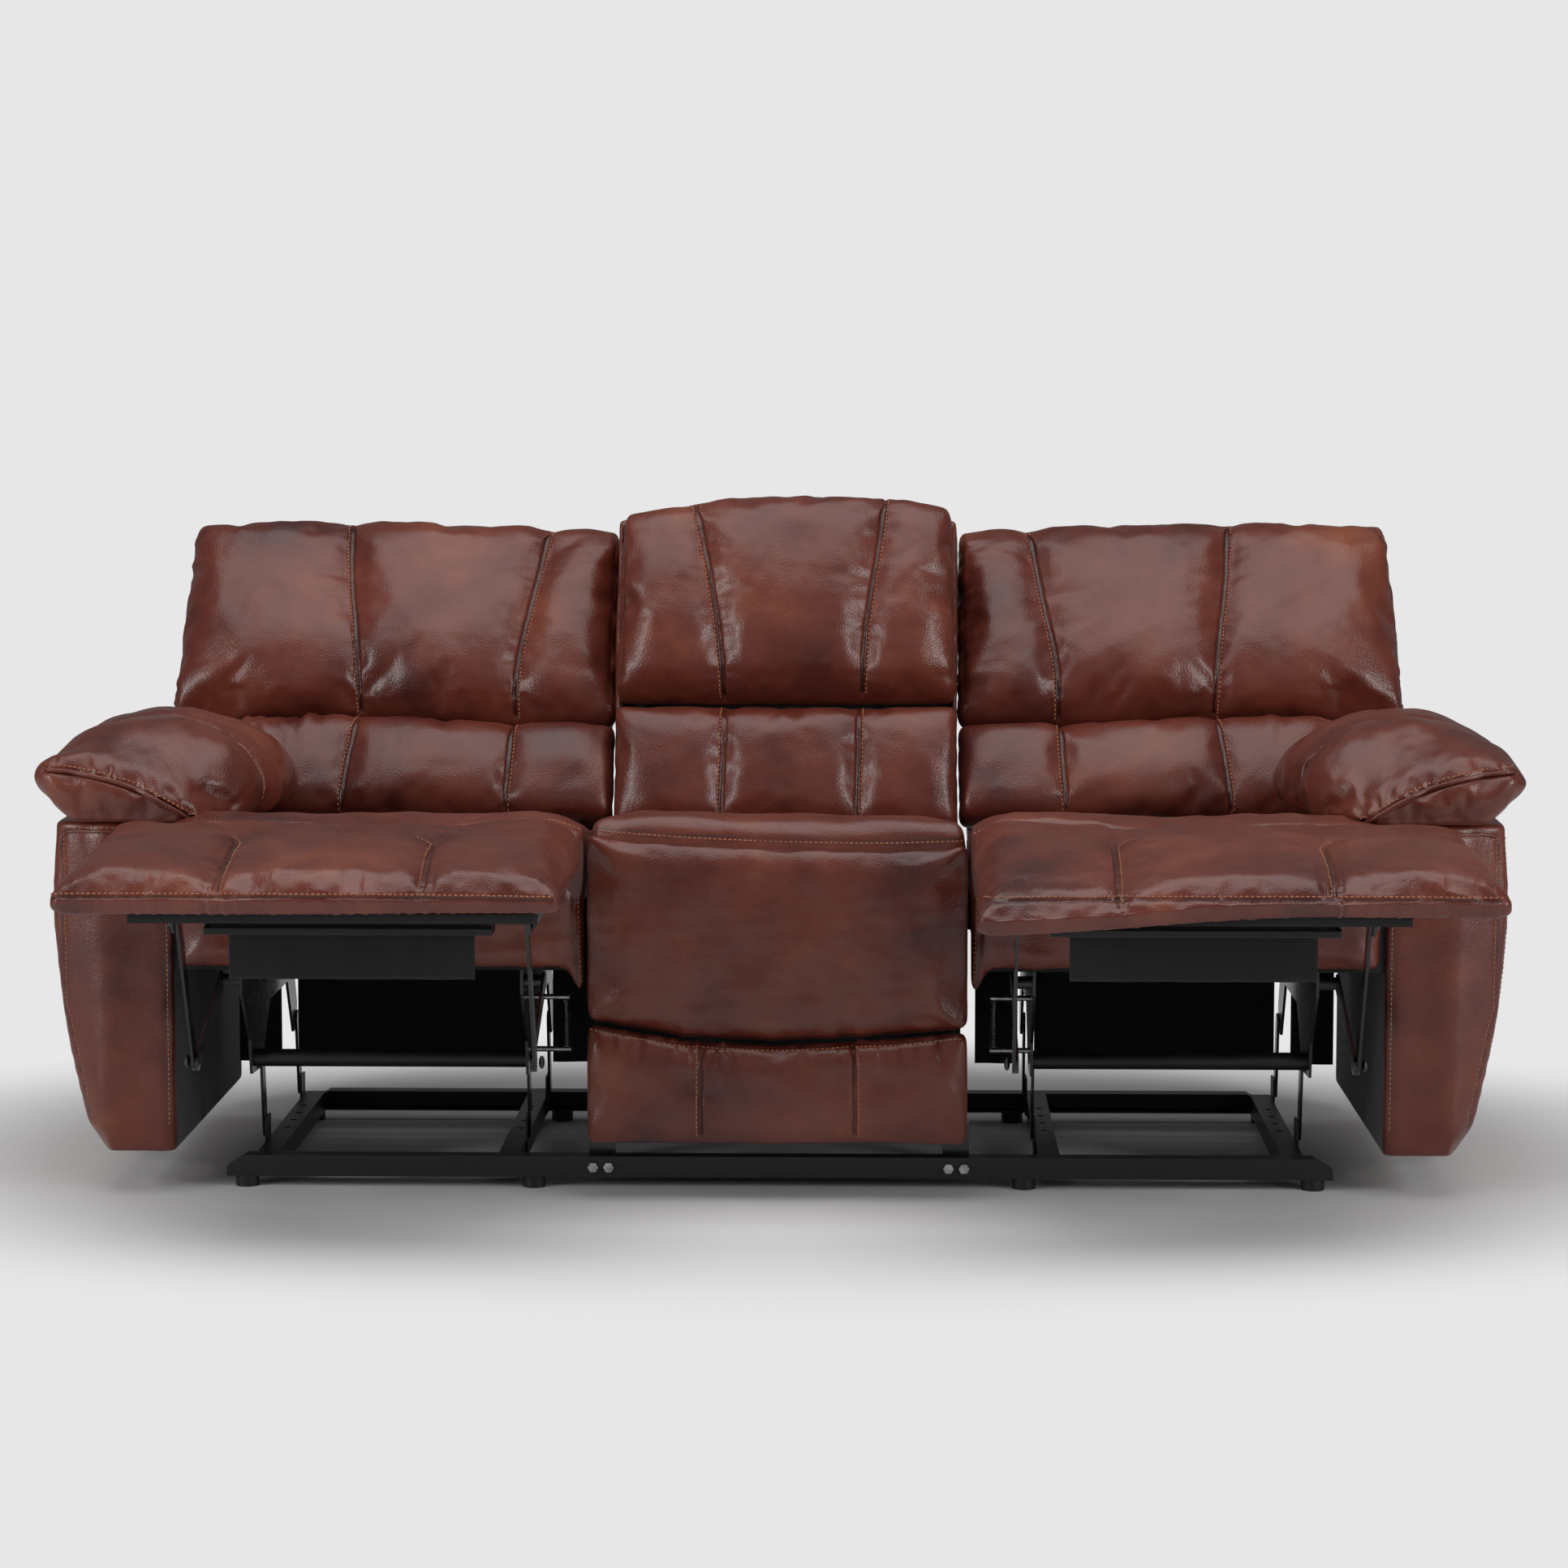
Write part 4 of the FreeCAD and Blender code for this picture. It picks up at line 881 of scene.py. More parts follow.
# Arms
def arm_body(side, sign):
    """The tall arm under its pad: leather over board, softly ridged in front."""
    piece = from_node(f"{side}_arm_body", f"{side}_arm_cover", 0.0055, 8)
    points = places(piece)
    x, y, z = np.abs(points[:, 0]) * 1000, points[:, 1] * 1000, points[:, 2] * 1000
    near = slope(-y, 215, 335)
    face = 1010 - np.where(z > 262, 6 * (526 - z) / 264, 6 + 42 * (262 - z) / 202)
    back = 15 * slope((x - 938) / np.maximum(face - 938, 20), 0.0, 1.0) * near
    lift = 16 * np.exp(-((x - 938) / 30) ** 2) * near * slope(z, 62, 110)
    side_bulge = 5 * slope(x, 980, 1000) * np.sin(np.clip((y + 340) / 630, 0, 1) * math.pi)
    round_end = 12 * (1 - slope(z, 60, 110)) * near
    points[:, 1] += (back - lift * 0.5 + round_end * 0.4) * MM
    wanted = np.interp(z, [60, 80, 120, 171, 220, 263, 320, 376, 440, 512],
                       [961, 968, 978, 989, 999, 1006, 1012, 1016, 1016, 1011])
    outward = slope(x, 930, 985) * (wanted - face)
    points[:, 0] += sign * (side_bulge + outward) * MM
    points[:, 0] -= sign * 13 * slope(x, 925, 962) * (1 - slope(z, 60, 105)) * MM
    set_places(piece, points)
    body = f"{side}_seat"
    forward = (0.0, 1.0, 0.0)
    rows_of_folds(piece, forward, 81 + sign, 0.0005)
    edge = [(1008, -330, z) for z in range(508, 250, -20)]
    edge += [(1004 - 42 * (262 - z) / 202, -330, z) for z in range(240, 80, -20)]
    sew(piece, flat_path([(px - 7, py, pz) for px, py, pz in edge], sign), forward, body,
        depth=2.0, width=3.5, pull=0.5, stitch_side=sign, stitch_gap=4.5, pucker=0.3,
        reach=14)
    top = curve_through([(856, -340, 508), (900, -340, 512), (960, -335, 514),
                         (1000, -325, 510)])
    sew(piece, flat_path(top, sign), forward, body, depth=2.0, width=3.5, pull=0.5,
        stitch_side=1, stitch_gap=5, pucker=0.8, spacing=20, reach=26, welt=2.6)
    inner = [(853, -340, z) for z in range(500, 80, -20)]
    sew(piece, flat_path(inner, sign), forward, body, depth=1.5, width=3.5, pull=0.0,
        stitch_side=-sign, stitch_gap=0.1)
    outward = (-sign, 0.0, 0.0)
    for y in (-300, 262):
        seam = [(1010, y, z) for z in range(505, 80, -20)]
        sew(piece, flat_path(seam, sign), outward, body, depth=2.2, width=4.0, pull=1.0,
            stitch_side=1, pucker=0.4, reach=18)
    piece.data.materials.append(materials()["cloth"])
    for face in piece.data.polygons:
        if abs(face.center.x) < 0.868 and face.center.y > -0.322:
            face.material_index = 1
    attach(piece, body)
    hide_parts(f"{side}_arm_cover")


def arm_pad(side, sign):
    """The thick pad over the arm, gathered above the piping of its front gusset."""
    lines = (spaced([740.0, 1031.0], 8.0), spaced([-374.0, -150.0, 86.0], 8.0, (3, 7)),
             spaced([525.0, 611.0], 8.0))
    points, share, faces = soft_box(lines, (44, 34, 42))
    x, y, z = points.T.copy()
    top_share = share[:, 2]
    along = slope(y, -374, -240)
    inner_low = 56 * (1 - along)
    across = x + inner_low * (1 - share[:, 0]) ** 1.5
    piping = np.interp(across, [811, 875, 947, 1017], [531, 571, 595, 603])
    full = 576 + 78 * np.sin(math.pi * np.clip(share[:, 0] * 0.86 + 0.06, 0, 1)) ** 0.75
    full -= 10 * slope(y, -60, 80)
    high = (piping + 14) * (1 - along) + full * along
    hang = -14 * slope(-across, -846, -770) * slope(y, -340, -240)
    low = 526 + hang + 34 * slope(across, 968, 1031) * slope(-y, -60, 60)
    height = low + top_share * (high - low)
    rear = slope(y, -150, -110) * slope(-across, -830, -740) * 22
    across = across - rear * (1 - top_share * 0.5)
    bulge = 9 * slope(top_share, 0.3, 0.7) * (1 - along) * slope(-y, 330, 374)
    y = y - bulge * 0.4
    height = height + 3.0 * waves(points * MM, 91 + sign, 0.13) * top_share
    piece = make_piece(f"{side}_arm_cushion", np.stack([across, y, height], 1), faces, sign)
    ring = np.abs(points[:, 1] + 150) < 1
    plump(piece, (top_share < 0.08) | (ring & (top_share > 0.4)), 4.0, 0.012, slack=0.04)
    finer(piece)
    body = f"{side}_seat"
    forward = (0.0, 1.0, 0.0)
    rows_of_folds(piece, (0.0, 0.4, -0.9), 95 + sign, 0.0008)
    front = curve_through([(808, -372, 532), (836, -374, 549), (875, -374, 570),
                           (911, -374, 584), (947, -374, 594), (985, -370, 600),
                           (1017, -362, 603)])
    sew(piece, flat_path(front, sign), forward, body, depth=3.0, width=4.5, pull=1.0,
        pucker=0.0, stitch_side=sign * -1, stitch_gap=7, welt=3.2)
    gathers(piece, flat_path(front, sign), 7 + sign)
    arc = curve_through([(1010, -150, 560), (985, -150, 620), (902, -150, 650),
                         (820, -152, 625), (784, -152, 600), (752, -152, 556),
                         (742, -152, 520)], 8)
    arc = flat_path(arc, sign)
    down = (0.0, 0.0, -1.0)
    sew(piece, arc[:-18], down, body, depth=4.0, width=3.6, pull=3.5, pull_width=22,
        stitch_side=1)
    sew(piece, arc[-22:], (sign * 0.9, 0.0, -0.43), body, depth=4.0, width=3.6, pull=3.5,
        pull_width=22, stitch_side=1)
    finish_padded(piece, body, f"{side}_arm_pad")


def gathers(piece, path, seed):
    """Strong puckers that run up from the piping of the arm pad's front."""
    points, facing = places(piece), normals(piece)
    line, _ = dense(path, 0.003)
    chance = np.random.default_rng(seed + 40)
    shift = np.zeros(len(points))
    for _ in range(22):
        start = line[chance.integers(4, len(line) - 4)]
        heading = np.array([chance.uniform(-0.35, 0.35), chance.uniform(0.15, 0.5), 1.0])
        heading /= np.linalg.norm(heading)
        away = points - start
        along = away @ heading
        aside = np.linalg.norm(away - along[:, None] * heading, axis=1)
        length = chance.uniform(0.03, 0.07)
        width = chance.uniform(0.004, 0.008)
        fade = slope(along, -0.002, 0.008) * (1 - slope(along, length * 0.5, length))
        shift += chance.choice([-1.0, -1.0, 1.0]) * chance.uniform(2.0, 4.2) * fade \
            * np.exp(-(aside / width) ** 2)
    set_places(piece, points + facing * (shift * MM)[:, None])
    near, _ = nearest_on(path, points)
    above = slope(points[:, 2], 0.53, 0.56)
    mark(piece, "crease", np.exp(-(near / 0.06) ** 2) * above)


# End seats
def seat_cushion(side, sign):
    """The seat of an end seat, with its nose reaching forward to the footrest."""
    lines = (spaced([268.0, 836.0], 10.0), spaced([-415.0, -352.0, 106.0], 9.0, (5.0,)),
             spaced([404.0, 508.0], 12.0))
    points, share, faces = soft_box(lines, (18, 10, 18))
    x, y, z = points.T.copy()
    high = np.interp(y, [-415, -395, -345, -250, -100, 0, 106],
                     [521, 529, 531, 518, 496, 480, 470])
    sides = slope(x, 262, 320) * slope(-x, -842, -790)
    high = high + 4 * sides + 2.0 * waves(points * MM, 23 + sign, 0.18)
    high += np.interp(x, [268, 300, 380, 480, 600, 713, 836], [-4, 6, 5, -3, -4, 2, 0]) \
        * slope(-y, 300, 380)
    low = np.where(y < -356, 508.0, np.where(y < -346, 508 - (y + 356) * 10.2, 405.0))
    height = low + share[:, 2] * (high - low)
    piece = make_piece(f"{side}_seat_padding", np.stack([x, y, height], 1), faces, sign)
    plump(piece, (share[:, 2] < 0.5) | (y < -405), 3.0, 0.006)
    finer(piece)
    rows_of_folds(piece, (0, 0, -1), 25 + sign, 0.0010)
    body = f"{side}_seat"
    ridge = curve_through([(272, -400, 520), (300, -404, 540), (380, -404, 530),
                           (547, -404, 526), (713, -404, 530), (832, -404, 530)])
    sew(piece, flat_path(ridge, sign), (0, 0.25, -1), body, depth=1.5, width=3.0,
        pull=0.5, stitch_side=1, pucker=0.6, reach=22, spacing=26)
    finish_padded(piece, body, f"{side}_seat_cushion")


def seat_front(side, sign):
    """The padded leather under the seat's front edge, seamed at its inner side."""
    lines = (spaced([268.0, 836.0], 10.0), spaced([-346.0, -327.0], 7.0),
             spaced([322.0, 507.0], 10.0))
    points, share, faces = soft_box(lines, (14, 12, 14))
    x, y, z = points.T.copy()
    front = 1 - share[:, 1]
    drop = -32 * slope(-x, -292, -280) * (1 - slope(z, 322, 400))
    y = y - front * (4 * np.sin(math.pi * share[:, 2]) + 1.2 * waves(points * MM, 29, 0.12))
    piece = make_piece(f"{side}_seat_front", np.stack([x, y, z + drop], 1), faces, sign)
    plump(piece, share[:, 1] > 0.7, 3.0, 0.004)
    finer(piece)
    body = f"{side}_seat"
    rows_of_folds(piece, (0, 1, 0), 27 + sign, 0.0012)
    edge = curve_through([(280, -346, 500), (282, -346, 400), (278, -346, 300)])
    sew(piece, flat_path(edge, sign), (0, 1, 0), body, depth=2.5, width=3.2, pull=2.0,
        stitch_side=sign, pucker=1.2, spacing=40, reach=36, seed=7 + sign)
    finish_padded(piece, body, f"{side}_front_border")


def footrest(side, sign):
    """The footrest's leather, from the seat's seam to its stitched front hem."""
    outer = {"right": 936.0, "left": 910.0}[side]
    width = outer - 268.0
    marks = [268.0, 268 + 0.27 * width, 268 + 0.68 * width, outer]
    lines = (spaced(marks, 9.0), spaced([-856.0, -838.0, -417.0], 8.0, (3.0, 7.0)),
             spaced([464.0, 512.0], 8.0))
    points, share, faces = soft_box(lines, (20, 12, 16))
    x, y, z = points.T.copy()
    high = np.interp(y, [-856, -846, -820, -770, -700, -600, -500, -440, -417],
                     [488, 494, 504, 516, 525, 529, 529, 530, 522])
    ends = slope(x, 262, 330) * slope(-x, -936, -850)
    high = high + 5 * ends - 3
    quilting = panels(x, marks, 6.0) * slope(-y, 590, 640)
    high += quilting + 2.6 * waves(points * MM, 33 + sign, 0.2) * slope(-y, 417, 470)
    high += np.interp(x, [268, 300, 380, 480, 600, 713, 930], [-4, 6, 5, -3, -4, 2, 0]) \
        * slope(y, -520, -420)
    low = np.interp(y, [-856, -846, -620, -450, -430, -417],
                    [478, 463, 462, 464, 485, 500])
    height = low + share[:, 2] * (high - low)
    tip = slope(-y, 790, 856)
    corner = slope(np.abs(x - 599), 230, 331) * tip
    x = x + np.sign(x - 599) * corner * 5
    y = y - corner * 4
    if side == "right":
        height = height - 24 * slope(-y, 600, 850) * slope(-x, -700, -268)
    else:
        height = height + 3 * slope(-y, 600, 850) * slope(-x, -700, -268)
    piece = make_piece(f"{side}_footrest_leather", np.stack([x, y, height], 1), faces, sign)
    seam_lines = (np.abs(points[:, 0] - marks[1]) < 1) | (np.abs(points[:, 0] - marks[2]) < 1)
    held = (share[:, 2] < 0.4) | (seam_lines & (points[:, 1] < -610) & (share[:, 2] > 0.8))
    plump(piece, held | (points[:, 1] > -428), 4.0, 0.008, slack=0.02)
    finer(piece)
    body = f"{side}_footrest"
    down = (0.0, 0.12, -1.0)
    rows_of_folds(piece, down, 37 + sign, 0.0009)
    for k, hook in ((1, 16), (2, 10)):
        seam = curve_through([(marks[k] + hook * 1.6, -600, 520), (marks[k] + hook, -608, 520),
                              (marks[k] + 3, -632, 520), (marks[k], -700, 520),
                              (marks[k] - 2, -780, 505), (marks[k] - 4, -846, 490)])
        sew(piece, flat_path(seam, sign), down, body, depth=3.6, width=2.6, pull=3.0,
            pull_width=18, stitch_side=(-1 if k == 1 else 1) * sign, pucker=0.6,
            reach=18, spacing=12)
    hem = curve_through([(276, -852, 484), (400, -856, 486), (600, -857, 487),
                         (800, -856, 487), (926, -852, 486)])
    sew(piece, flat_path(hem, sign), (0, 1, -0.1), body, depth=2.6, width=3.2, pull=0.5,
        stitch_side=-sign, stitch_gap=4, pucker=1.1, spacing=11, reach=46, seed=13 + sign)
    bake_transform(piece, f"{side}_seat", body, start=(0, -0.414, 0.52), end=(0, -0.448, 0.52))
    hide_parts(f"{side}_footrest_pad")


def flap(side, sign):
    """The steel flap under the footrest, its hangers and its hanging black cloth."""
    low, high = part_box(f"{side}_mid_flap")
    middle = (low.x + high.x) / 2
    parts = []
    bar_low, bar_high = 0.415, 0.425
    boxes = [((middle, (low.y + high.y) / 2, 0.42), (0.38, high.y - low.y, 0.010))]
    for end in (-1, 1):
        boxes.append(((middle + end * 0.188, (low.y + high.y) / 2, (0.425 + high.z) / 2),
                      (0.005, 0.030, high.z - 0.425)))
    for place, size in boxes:
        bpy.ops.object.select_all(action="DESELECT")
        bpy.ops.mesh.primitive_cube_add(size=1, location=place, scale=size)
        part = bpy.context.active_object
        bpy.ops.object.transform_apply(location=True, rotation=True, scale=True)
        apply(part, "BEVEL", width=0.0015, segments=2)
        parts.append(part)
    only(parts[0])
    for part in parts[1:]:
        part.select_set(True)
    bpy.ops.object.join()
    bar = bpy.context.active_object
    bar.name = f"{side}_flap"
    bar.data.materials.clear()
    bar.data.materials.append(materials()["steel"])
    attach(bar, f"{side}_footrest")
    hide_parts(f"{side}_mid_flap")
    columns, rows = 66, 14
    cloth_y = (low.y + high.y) / 2 + (high.y - low.y) / 2 - 0.0045
    points, faces = [], []
    for j in range(rows + 1):
        for i in range(columns + 1):
            u, w = i / columns, j / rows
            x = middle + (u - 0.5) * 0.326
            wave = 0.0016 * math.sin(u * 21) + 0.001 * math.sin(u * 47 + 1)
            points.append((x * 1000, (cloth_y + wave * w) * 1000, 415 - 64 * w))
    for j in range(rows):
        for i in range(columns):
            a = j * (columns + 1) + i
            faces.append([a, a + 1, a + columns + 2, a + columns + 1])
    sheet = make_piece(f"{side}_flap_cloth", points, faces, material="cloth")
    apply(sheet, "SOLIDIFY", thickness=0.0008)
    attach(sheet, f"{side}_footrest")


def rear_lining(side, sign):
    """The black cloth that hangs behind the mechanism, under the seat's rear board."""
    for part, middle, width in (("rear_lining", 555, 360), ("outer_lining", 792, 64),
                                ("inner_lining", 318, 64)):
        columns, rows = width // 6, 34
        points, faces = [], []
        for j in range(rows + 1):
            for i in range(columns + 1):
                u, w = i / columns, j / rows
                wave = 1.6 * math.sin(u * width / 21 + 1) + 0.9 * math.sin(u * width / 9)
                points.append((middle + (u - 0.5) * width, 124 + wave * w, 318 - 204 * w))
        for j in range(rows):
            for i in range(columns):
                a = j * (columns + 1) + i
                faces.append([a, a + 1, a + columns + 2, a + columns + 1])
        sheet = make_piece(f"{side}_{part}", points, faces, sign, "cloth")
        apply(sheet, "SOLIDIFY", thickness=0.0008)
        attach(sheet, f"{side}_seat")


# Middle seat
CURVED_SEAM = ([-262, -121, 3, 161, 262], [250, 226, 221, 230, 240])


def centre_seat():
    """The fixed middle seat: cushion with its front strip, and two front panels."""
    lines = (spaced([-264.0, 264.0], 10.0), spaced([-370.0, 106.0], 9.0),
             spaced([404.0, 512.0], 10.0))
    points, share, faces = soft_box(lines, (16, 30, 26))
    x, y, z = points.T.copy()
    high = np.interp(y, [-370, -345, -300, -200, -100, 0, 106],
                     [528, 535, 532, 516, 498, 484, 472])
    high = high + np.interp(x, [-264, -200, -60, 60, 200, 264], [-2, 4, 1, -2, -2, -6]) \
        + 1.6 * waves(points * MM, 43, 0.2)
    height = 404 + share[:, 2] * (high - 404)
    y = np.where((height < 480) & (y < -352), -352, y)
    piece = make_piece("centre_seat_cushion", np.stack([x, y, height], 1), faces)
    plump(piece, share[:, 2] < 0.6, 3.0, 0.006)
    finer(piece)
    strip = curve_through([(-256, -372, 516), (-120, -372, 507), (3, -372, 502),
                           (140, -372, 500), (258, -372, 503)])
    sew(piece, flat_path([(a, b, c + 5) for a, b, c in strip]), (0, 1, 0), "base", depth=0.5,
        pull=0.2, stitch_side=1, stitch_gap=3, pucker=0.0)
    rows_of_folds(piece, (0, 0.4, -0.9), 45, 0.0008)
    finish_padded(piece, "base", "centre_cushion")

    lines = (spaced([-264.0, 264.0], 9.0), spaced([-370.0, -341.0], 7.0),
             spaced([236.0, 508.0], 9.0))
    points, share, faces = soft_box(lines, (16, 13, 12))
    x, y, z = points.T.copy()
    front = 1 - share[:, 1]
    bottom = np.interp(x, *CURVED_SEAM)
    top = np.interp(x, [-256, -120, 3, 140, 258], [514, 505, 500, 498, 501])
    z = bottom + share[:, 2] * (top - bottom)
    y = y - front * (5 * np.sin(math.pi * share[:, 2]) ** 0.7
                     + 1.8 * waves(points * MM, 47, 0.16, (1, 1, 3)))
    upper = make_piece("centre_front_upper", np.stack([x, y, z], 1), faces)
    plump(upper, share[:, 1] > 0.7, 3.0, 0.006)
    finer(upper)
    points, facing = places(upper), normals(upper)
    folds = np.zeros(len(points))
    for place, size in ((-0.205, 2.4), (-0.170, -1.6), (-0.140, 1.6), (-0.105, -1.2),
                        (0.190, 1.2)):
        reach = slope(points[:, 2], 0.24, 0.30) * (1 - slope(points[:, 2], 0.34, 0.46))
        folds += size * np.exp(-((points[:, 0] - place) / 0.010) ** 2) * reach
    set_places(upper, points + facing * (folds * MM)[:, None])
    rows_of_folds(upper, (0, 1, 0), 48, 0.0009)
    lower_edge = [(a, -372, np.interp(a, *CURVED_SEAM) + 5) for a in range(-258, 262, 12)]
    sew(upper, flat_path(lower_edge), (0, 1, 0), "base", depth=1.0, pull=1.0, pucker=1.4,
        spacing=24, reach=34, seed=21, stitch_side=0)
    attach(upper, "base")
    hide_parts("centre_front_panel")

    marks = [-264.0, -106.0, 108.0, 264.0]
    lines = (spaced(marks, 9.0), spaced([-370.0, -341.0], 7.0), spaced([78.0, 236.0], 9.0))
    points, share, faces = soft_box(lines, (14, 13, 12))
    x, y, z = points.T.copy()
    front = 1 - share[:, 1]
    top = np.interp(x, *CURVED_SEAM) - 2
    z = 78 + share[:, 2] * (top - 78)
    y = y - front * (4 * np.sin(math.pi * share[:, 2]) ** 0.7 + panels(x, marks, 3.0)
                     + 1.2 * waves(points * MM, 49, 0.12))
    lower = make_piece("centre_front_lower", np.stack([x, y, z], 1), faces)
    plump(lower, share[:, 1] > 0.7, 3.0, 0.006)
    finer(lower)
    rows_of_folds(lower, (0, 1, 0), 50, 0.0008)
    for k, stitch in ((1, 1), (2, -1)):
        path = [(marks[k], -372, z) for z in range(222, 82, -10)]
        sew(lower, flat_path(path), (0, 1, 0), "base", depth=3.6, width=2.6, pull=2.5,
            stitch_side=stitch, pucker=0.4, reach=16)
    edge = [(a, -372, np.interp(a, *CURVED_SEAM) - 7) for a in range(-258, 262, 12)]
    sew(lower, flat_path(edge), (0, 1, 0), "base", depth=0.4, pull=0.6, pucker=2.2,
        spacing=22, reach=30, seed=23, stitch_side=1, stitch_gap=2)
    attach(lower, "base")


# Carried-over nodes
FINISHES = (
    ("centre_frame", "cloth"), ("seat_frame", "cloth"),
    ("springs", "wire"), ("return_spring", "zinc"), ("bolts", "zinc"),
    ("feet", "plastic"), ("release_lever", "plastic"), ("footrest_board", "cloth"),
    ("rails", "steel"), ("side_plates", "links"), ("links", "links"),
    ("tubes", "steel"), ("brackets", "links"), ("frame", "timber"),
)


def finish_nodes():
    """Gives every CAD node that stays its real finish."""
    for name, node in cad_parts.items():
        key = next((finish for part, finish in FINISHES if part in name), None)
        if key is None:
            continue
        if not node.material_slots:
            node.data.materials.append(materials()[key])
        for slot in node.material_slots:
            slot.material = materials()[key]


def rivets():
    """Domed rivet heads on the link joints, one turned shape copied to each pin."""
    pins = []
    for side, sign in SIDES.items():
        for across in (-1, 1):
            for plane, (y, z), body in ((240.5, (-632, 427), "footrest"),
                                        (240.5, (-517, 220), "lower_link")):
                pins.append((side, sign, 555 + across * plane, across, y, z, body))
    groups = {}
    for side, sign, x, across, y, z, body in pins:
        groups.setdefault((side, body), []).append((sign * x, across * sign, y, z))
    for (side, body), heads in groups.items():
        made = []
        for x, facing, y, z in heads:
            bpy.ops.object.select_all(action="DESELECT")
            bpy.ops.mesh.primitive_uv_sphere_add(
                segments=20, ring_count=10, radius=0.009,
                location=(x * MM, y * MM, z * MM), scale=(0.45, 1, 1))
            head = bpy.context.active_object
            bpy.ops.object.transform_apply(location=True, rotation=True, scale=True)
            bpy.ops.object.shade_smooth()
            made.append(head)
        only(made[0])
        for head in made[1:]:
            head.select_set(True)
        bpy.ops.object.join()
        piece = bpy.context.active_object
        piece.name = f"{side}_{body}_rivets"
        piece.data.materials.clear()
        piece.data.materials.append(materials()["links"])
        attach(piece, f"{side}_{body}")


# Stage
def lamp(name, place, aim, size, power):
    light = bpy.data.lights.new(name, "AREA")
    light.shape = "RECTANGLE"
    light.size, light.size_y = size
    light.energy = power
    holder = bpy.data.objects.new(name, light)
    holder.location = place
    holder.rotation_euler = (Vector(aim) - Vector(place)).to_track_quat("-Z", "Y").to_euler()
    bpy.context.scene.collection.objects.link(holder)


def backdrop_colour(world_tree):
    """A pale plain background for the camera, and for what is seen through glass."""
    path = add(world_tree, "ShaderNodeLightPath")
    seen = add(world_tree, "ShaderNodeMath", {0: (path, "Is Camera Ray"),
                                              1: (path, "Is Transmission Ray")},
               operation="MAXIMUM")
    sky = add(world_tree, "ShaderNodeBackground", values={"Color": rgba("#e7e7e7"),
                                                          "Strength": 1.0})
    air = add(world_tree, "ShaderNodeBackground", values={"Color": rgba("#f2f1f0"),
                                                          "Strength": 0.17})
    mix = add(world_tree, "ShaderNodeMixShader", {0: (seen, "Value"),
                                                  1: (air, "Background"),
                                                  2: (sky, "Background")})
    add(world_tree, "ShaderNodeOutputWorld", {"Surface": (mix, "Shader")})


def build_stage():
    scene = bpy.context.scene
    scene.view_settings.view_transform = "Standard"
    world = bpy.data.worlds.new("studio")
    world.use_nodes = True
    world.node_tree.nodes.clear()
    backdrop_colour(world.node_tree)
    scene.world = world
    bpy.ops.object.select_all(action="DESELECT")
    bpy.ops.mesh.primitive_plane_add(size=40)
    floor = bpy.context.active_object
    floor.name = "floor"
    material, tree, place = start_material("pale_studio_floor")
    oval = add(tree, "ShaderNodeMapping", {"Vector": (place, "Object")},
               values={"Scale": (0.82, 1.3, 1.0)})
    apart = add(tree, "ShaderNodeVectorMath", {0: (oval, "Vector")}, operation="LENGTH")
    fade = add(tree, "ShaderNodeMapRange", {"Value": (apart, "Value")},
               interpolation_type="SMOOTHSTEP",
               values={"From Min": 0.85, "From Max": 1.5, "To Min": 0.0, "To Max": 1.0})
    path = add(tree, "ShaderNodeLightPath")
    far = add(tree, "ShaderNodeMath", {0: (fade, "Result"), 1: (path, "Is Camera Ray")},
              operation="MULTIPLY")
    paper = add(tree, "ShaderNodeBsdfDiffuse", values={"Color": rgba("#e6e6e6")})
    glow = add(tree, "ShaderNodeEmission", values={"Color": rgba("#e7e7e7"),
                                                   "Strength": 1.0})
    mix = add(tree, "ShaderNodeMixShader", {0: (far, "Value"), 1: (paper, "BSDF"),
                                            2: (glow, "Emission")})
    add(tree, "ShaderNodeOutputMaterial", {"Surface": (mix, "Shader")})
    floor.data.materials.append(material)
    lamp("soft_box_above", (0.0, -0.6, 3.4), (0, 0, 0.4), (4.2, 3.0), 74)
    lamp("strip_left", (-3.0, -2.3, 1.5), (0, 0, 0.6), (0.6, 2.0), 42)
    lamp("strip_right", (3.0, -2.3, 1.5), (0, 0, 0.6), (0.6, 2.0), 42)
    lamp("fill_front", (0.4, -5.4, 2.6), (0, 0, 0.5), (3.0, 1.6), 7)
    camera = bpy.data.cameras.new("photo_view")
    camera.lens = 95.19
    camera.sensor_width = 36.0
    holder = bpy.data.objects.new("photo_view", camera)
    holder.location = (0.1408, -6.0557, 1.145)
    holder.rotation_euler = (math.pi / 2 - 0.0982, 0.0, 0.023)
    scene.collection.objects.link(holder)
    scene.camera = holder


# Add-on
class SofaSettings(bpy.types.PropertyGroup):
    """Sizes and colours that a user would change."""

    leather_colour: FloatVectorProperty(
        name="Leather", description="Main colour of the cowhide", subtype="COLOR",
        default=linear("#5e271c"), min=0.0, max=1.0)
    swelling: FloatProperty(
        name="Swelling", description="How much the filling swells, as a share",
        default=1.0, min=0.0, max=1.5, subtype="FACTOR")


class Builder:
    """Shared facts of the operators."""

    bl_options = {"REGISTER", "UNDO"}


class SOFA_OT_stage(Builder, bpy.types.Operator):
    """Set the floor, the lamps and the camera"""

    bl_idname = "sofa.stage"
    bl_label = "Stage"

    def execute(self, context):
        build_stage()
        return {"FINISHED"}


class SOFA_OT_mechanism(Builder, bpy.types.Operator):
    """Finish the steel, timber and springs, and add the rivets"""

    bl_idname = "sofa.mechanism"
    bl_label = "Mechanism"

    def execute(self, context):
        finish_nodes()
        rivets()
        return {"FINISHED"}


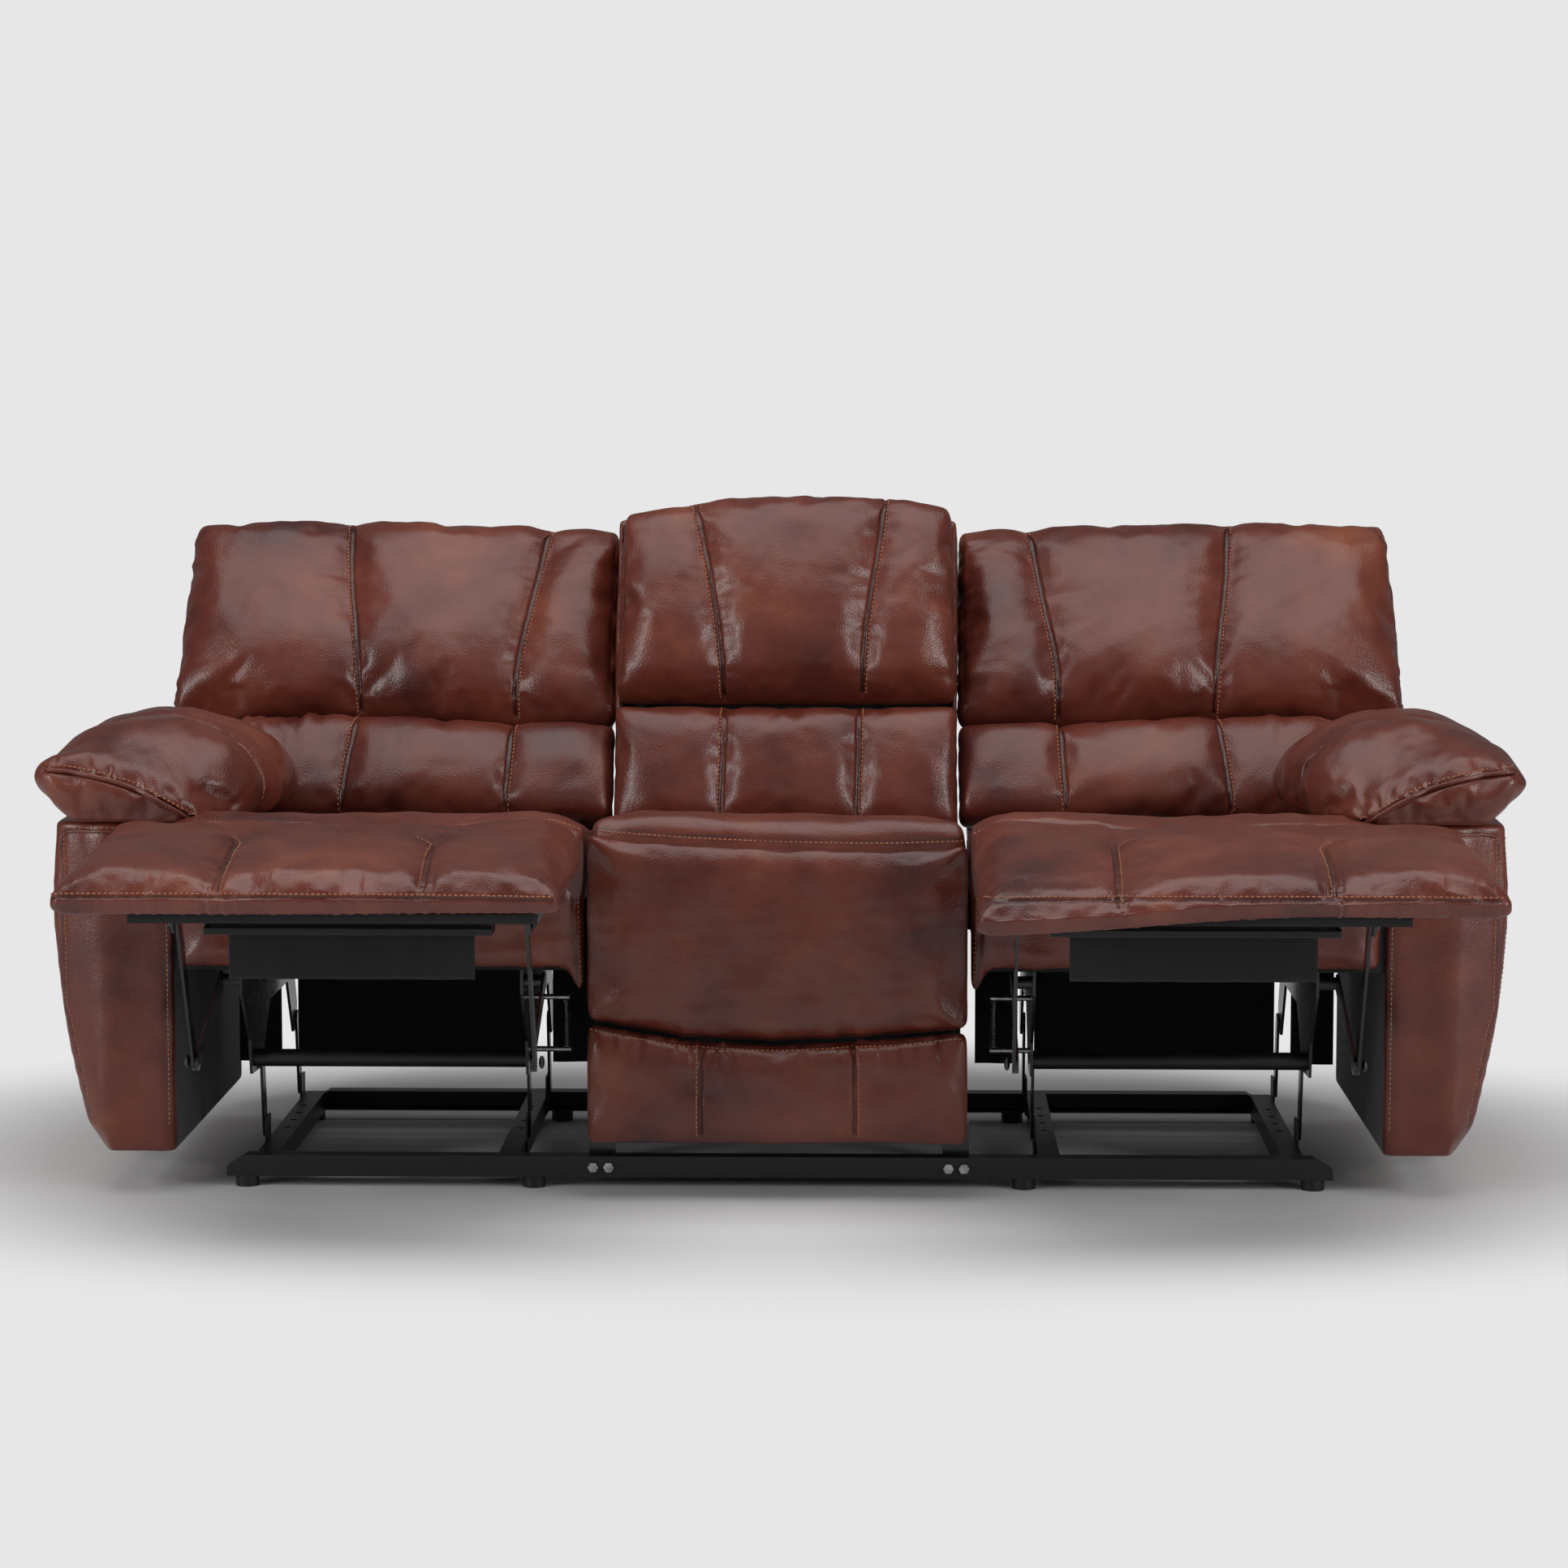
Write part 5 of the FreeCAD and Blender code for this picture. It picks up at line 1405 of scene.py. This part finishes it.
class SOFA_OT_backs(Builder, bpy.types.Operator):
    """Make the back cushions and the outside covers"""

    bl_idname = "sofa.backs"
    bl_label = "Backs"

    def execute(self, context):
        for side, sign in SIDES.items():
            end_back_upper(side, sign)
            end_back_lower(side, sign)
        centre_back_pieces()
        back_covers()
        back_frames()
        return {"FINISHED"}


class SOFA_OT_arms(Builder, bpy.types.Operator):
    """Make the arms and their pads"""

    bl_idname = "sofa.arms"
    bl_label = "Arms"

    def execute(self, context):
        for side, sign in SIDES.items():
            arm_body(side, sign)
            arm_pad(side, sign)
        return {"FINISHED"}


class SOFA_OT_seats(Builder, bpy.types.Operator):
    """Make the seats, footrests and flaps of the end seats"""

    bl_idname = "sofa.seats"
    bl_label = "End seats"

    def execute(self, context):
        for side, sign in SIDES.items():
            seat_cushion(side, sign)
            seat_front(side, sign)
            footrest(side, sign)
            flap(side, sign)
            rear_lining(side, sign)
        return {"FINISHED"}


class SOFA_OT_centre(Builder, bpy.types.Operator):
    """Make the middle seat"""

    bl_idname = "sofa.centre"
    bl_label = "Middle seat"

    def execute(self, context):
        centre_seat()
        return {"FINISHED"}


class SOFA_OT_threads(Builder, bpy.types.Operator):
    """Make the stitches and the piping, one piece of each on a body"""

    bl_idname = "sofa.threads"
    bl_label = "Stitches and piping"

    def execute(self, context):
        for body in sorted(stitch_rows):
            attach(stitch_mesh(f"{body}_stitches", body), body)
        for body in sorted(piping_rows):
            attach(piping_mesh(f"{body}_piping", body), body)
        return {"FINISHED"}


STEPS = (SOFA_OT_stage, SOFA_OT_mechanism, SOFA_OT_backs, SOFA_OT_arms, SOFA_OT_seats,
         SOFA_OT_centre, SOFA_OT_threads)


class SOFA_PT_panel(bpy.types.Panel):
    """The sofa's settings and its steps"""

    bl_label = "Sofa"
    bl_idname = "SOFA_PT_panel"
    bl_space_type = "VIEW_3D"
    bl_region_type = "UI"
    bl_category = "Sofa"

    def draw(self, context):
        settings = context.scene.sofa
        self.layout.prop(settings, "leather_colour")
        self.layout.prop(settings, "swelling")
        for step in STEPS:
            self.layout.operator(step.bl_idname)


CLASSES = (SofaSettings, *STEPS, SOFA_PT_panel)


def register():
    for cls in CLASSES:
        bpy.utils.register_class(cls)
    bpy.types.Scene.sofa = PointerProperty(type=SofaSettings)


def unregister():
    del bpy.types.Scene.sofa
    for cls in reversed(CLASSES):
        bpy.utils.unregister_class(cls)


def main():
    register()
    for name in ("stage", "mechanism", "backs", "arms", "seats", "centre", "threads"):
        getattr(bpy.ops.sofa, name)()


if __name__ == "__main__":
    main()
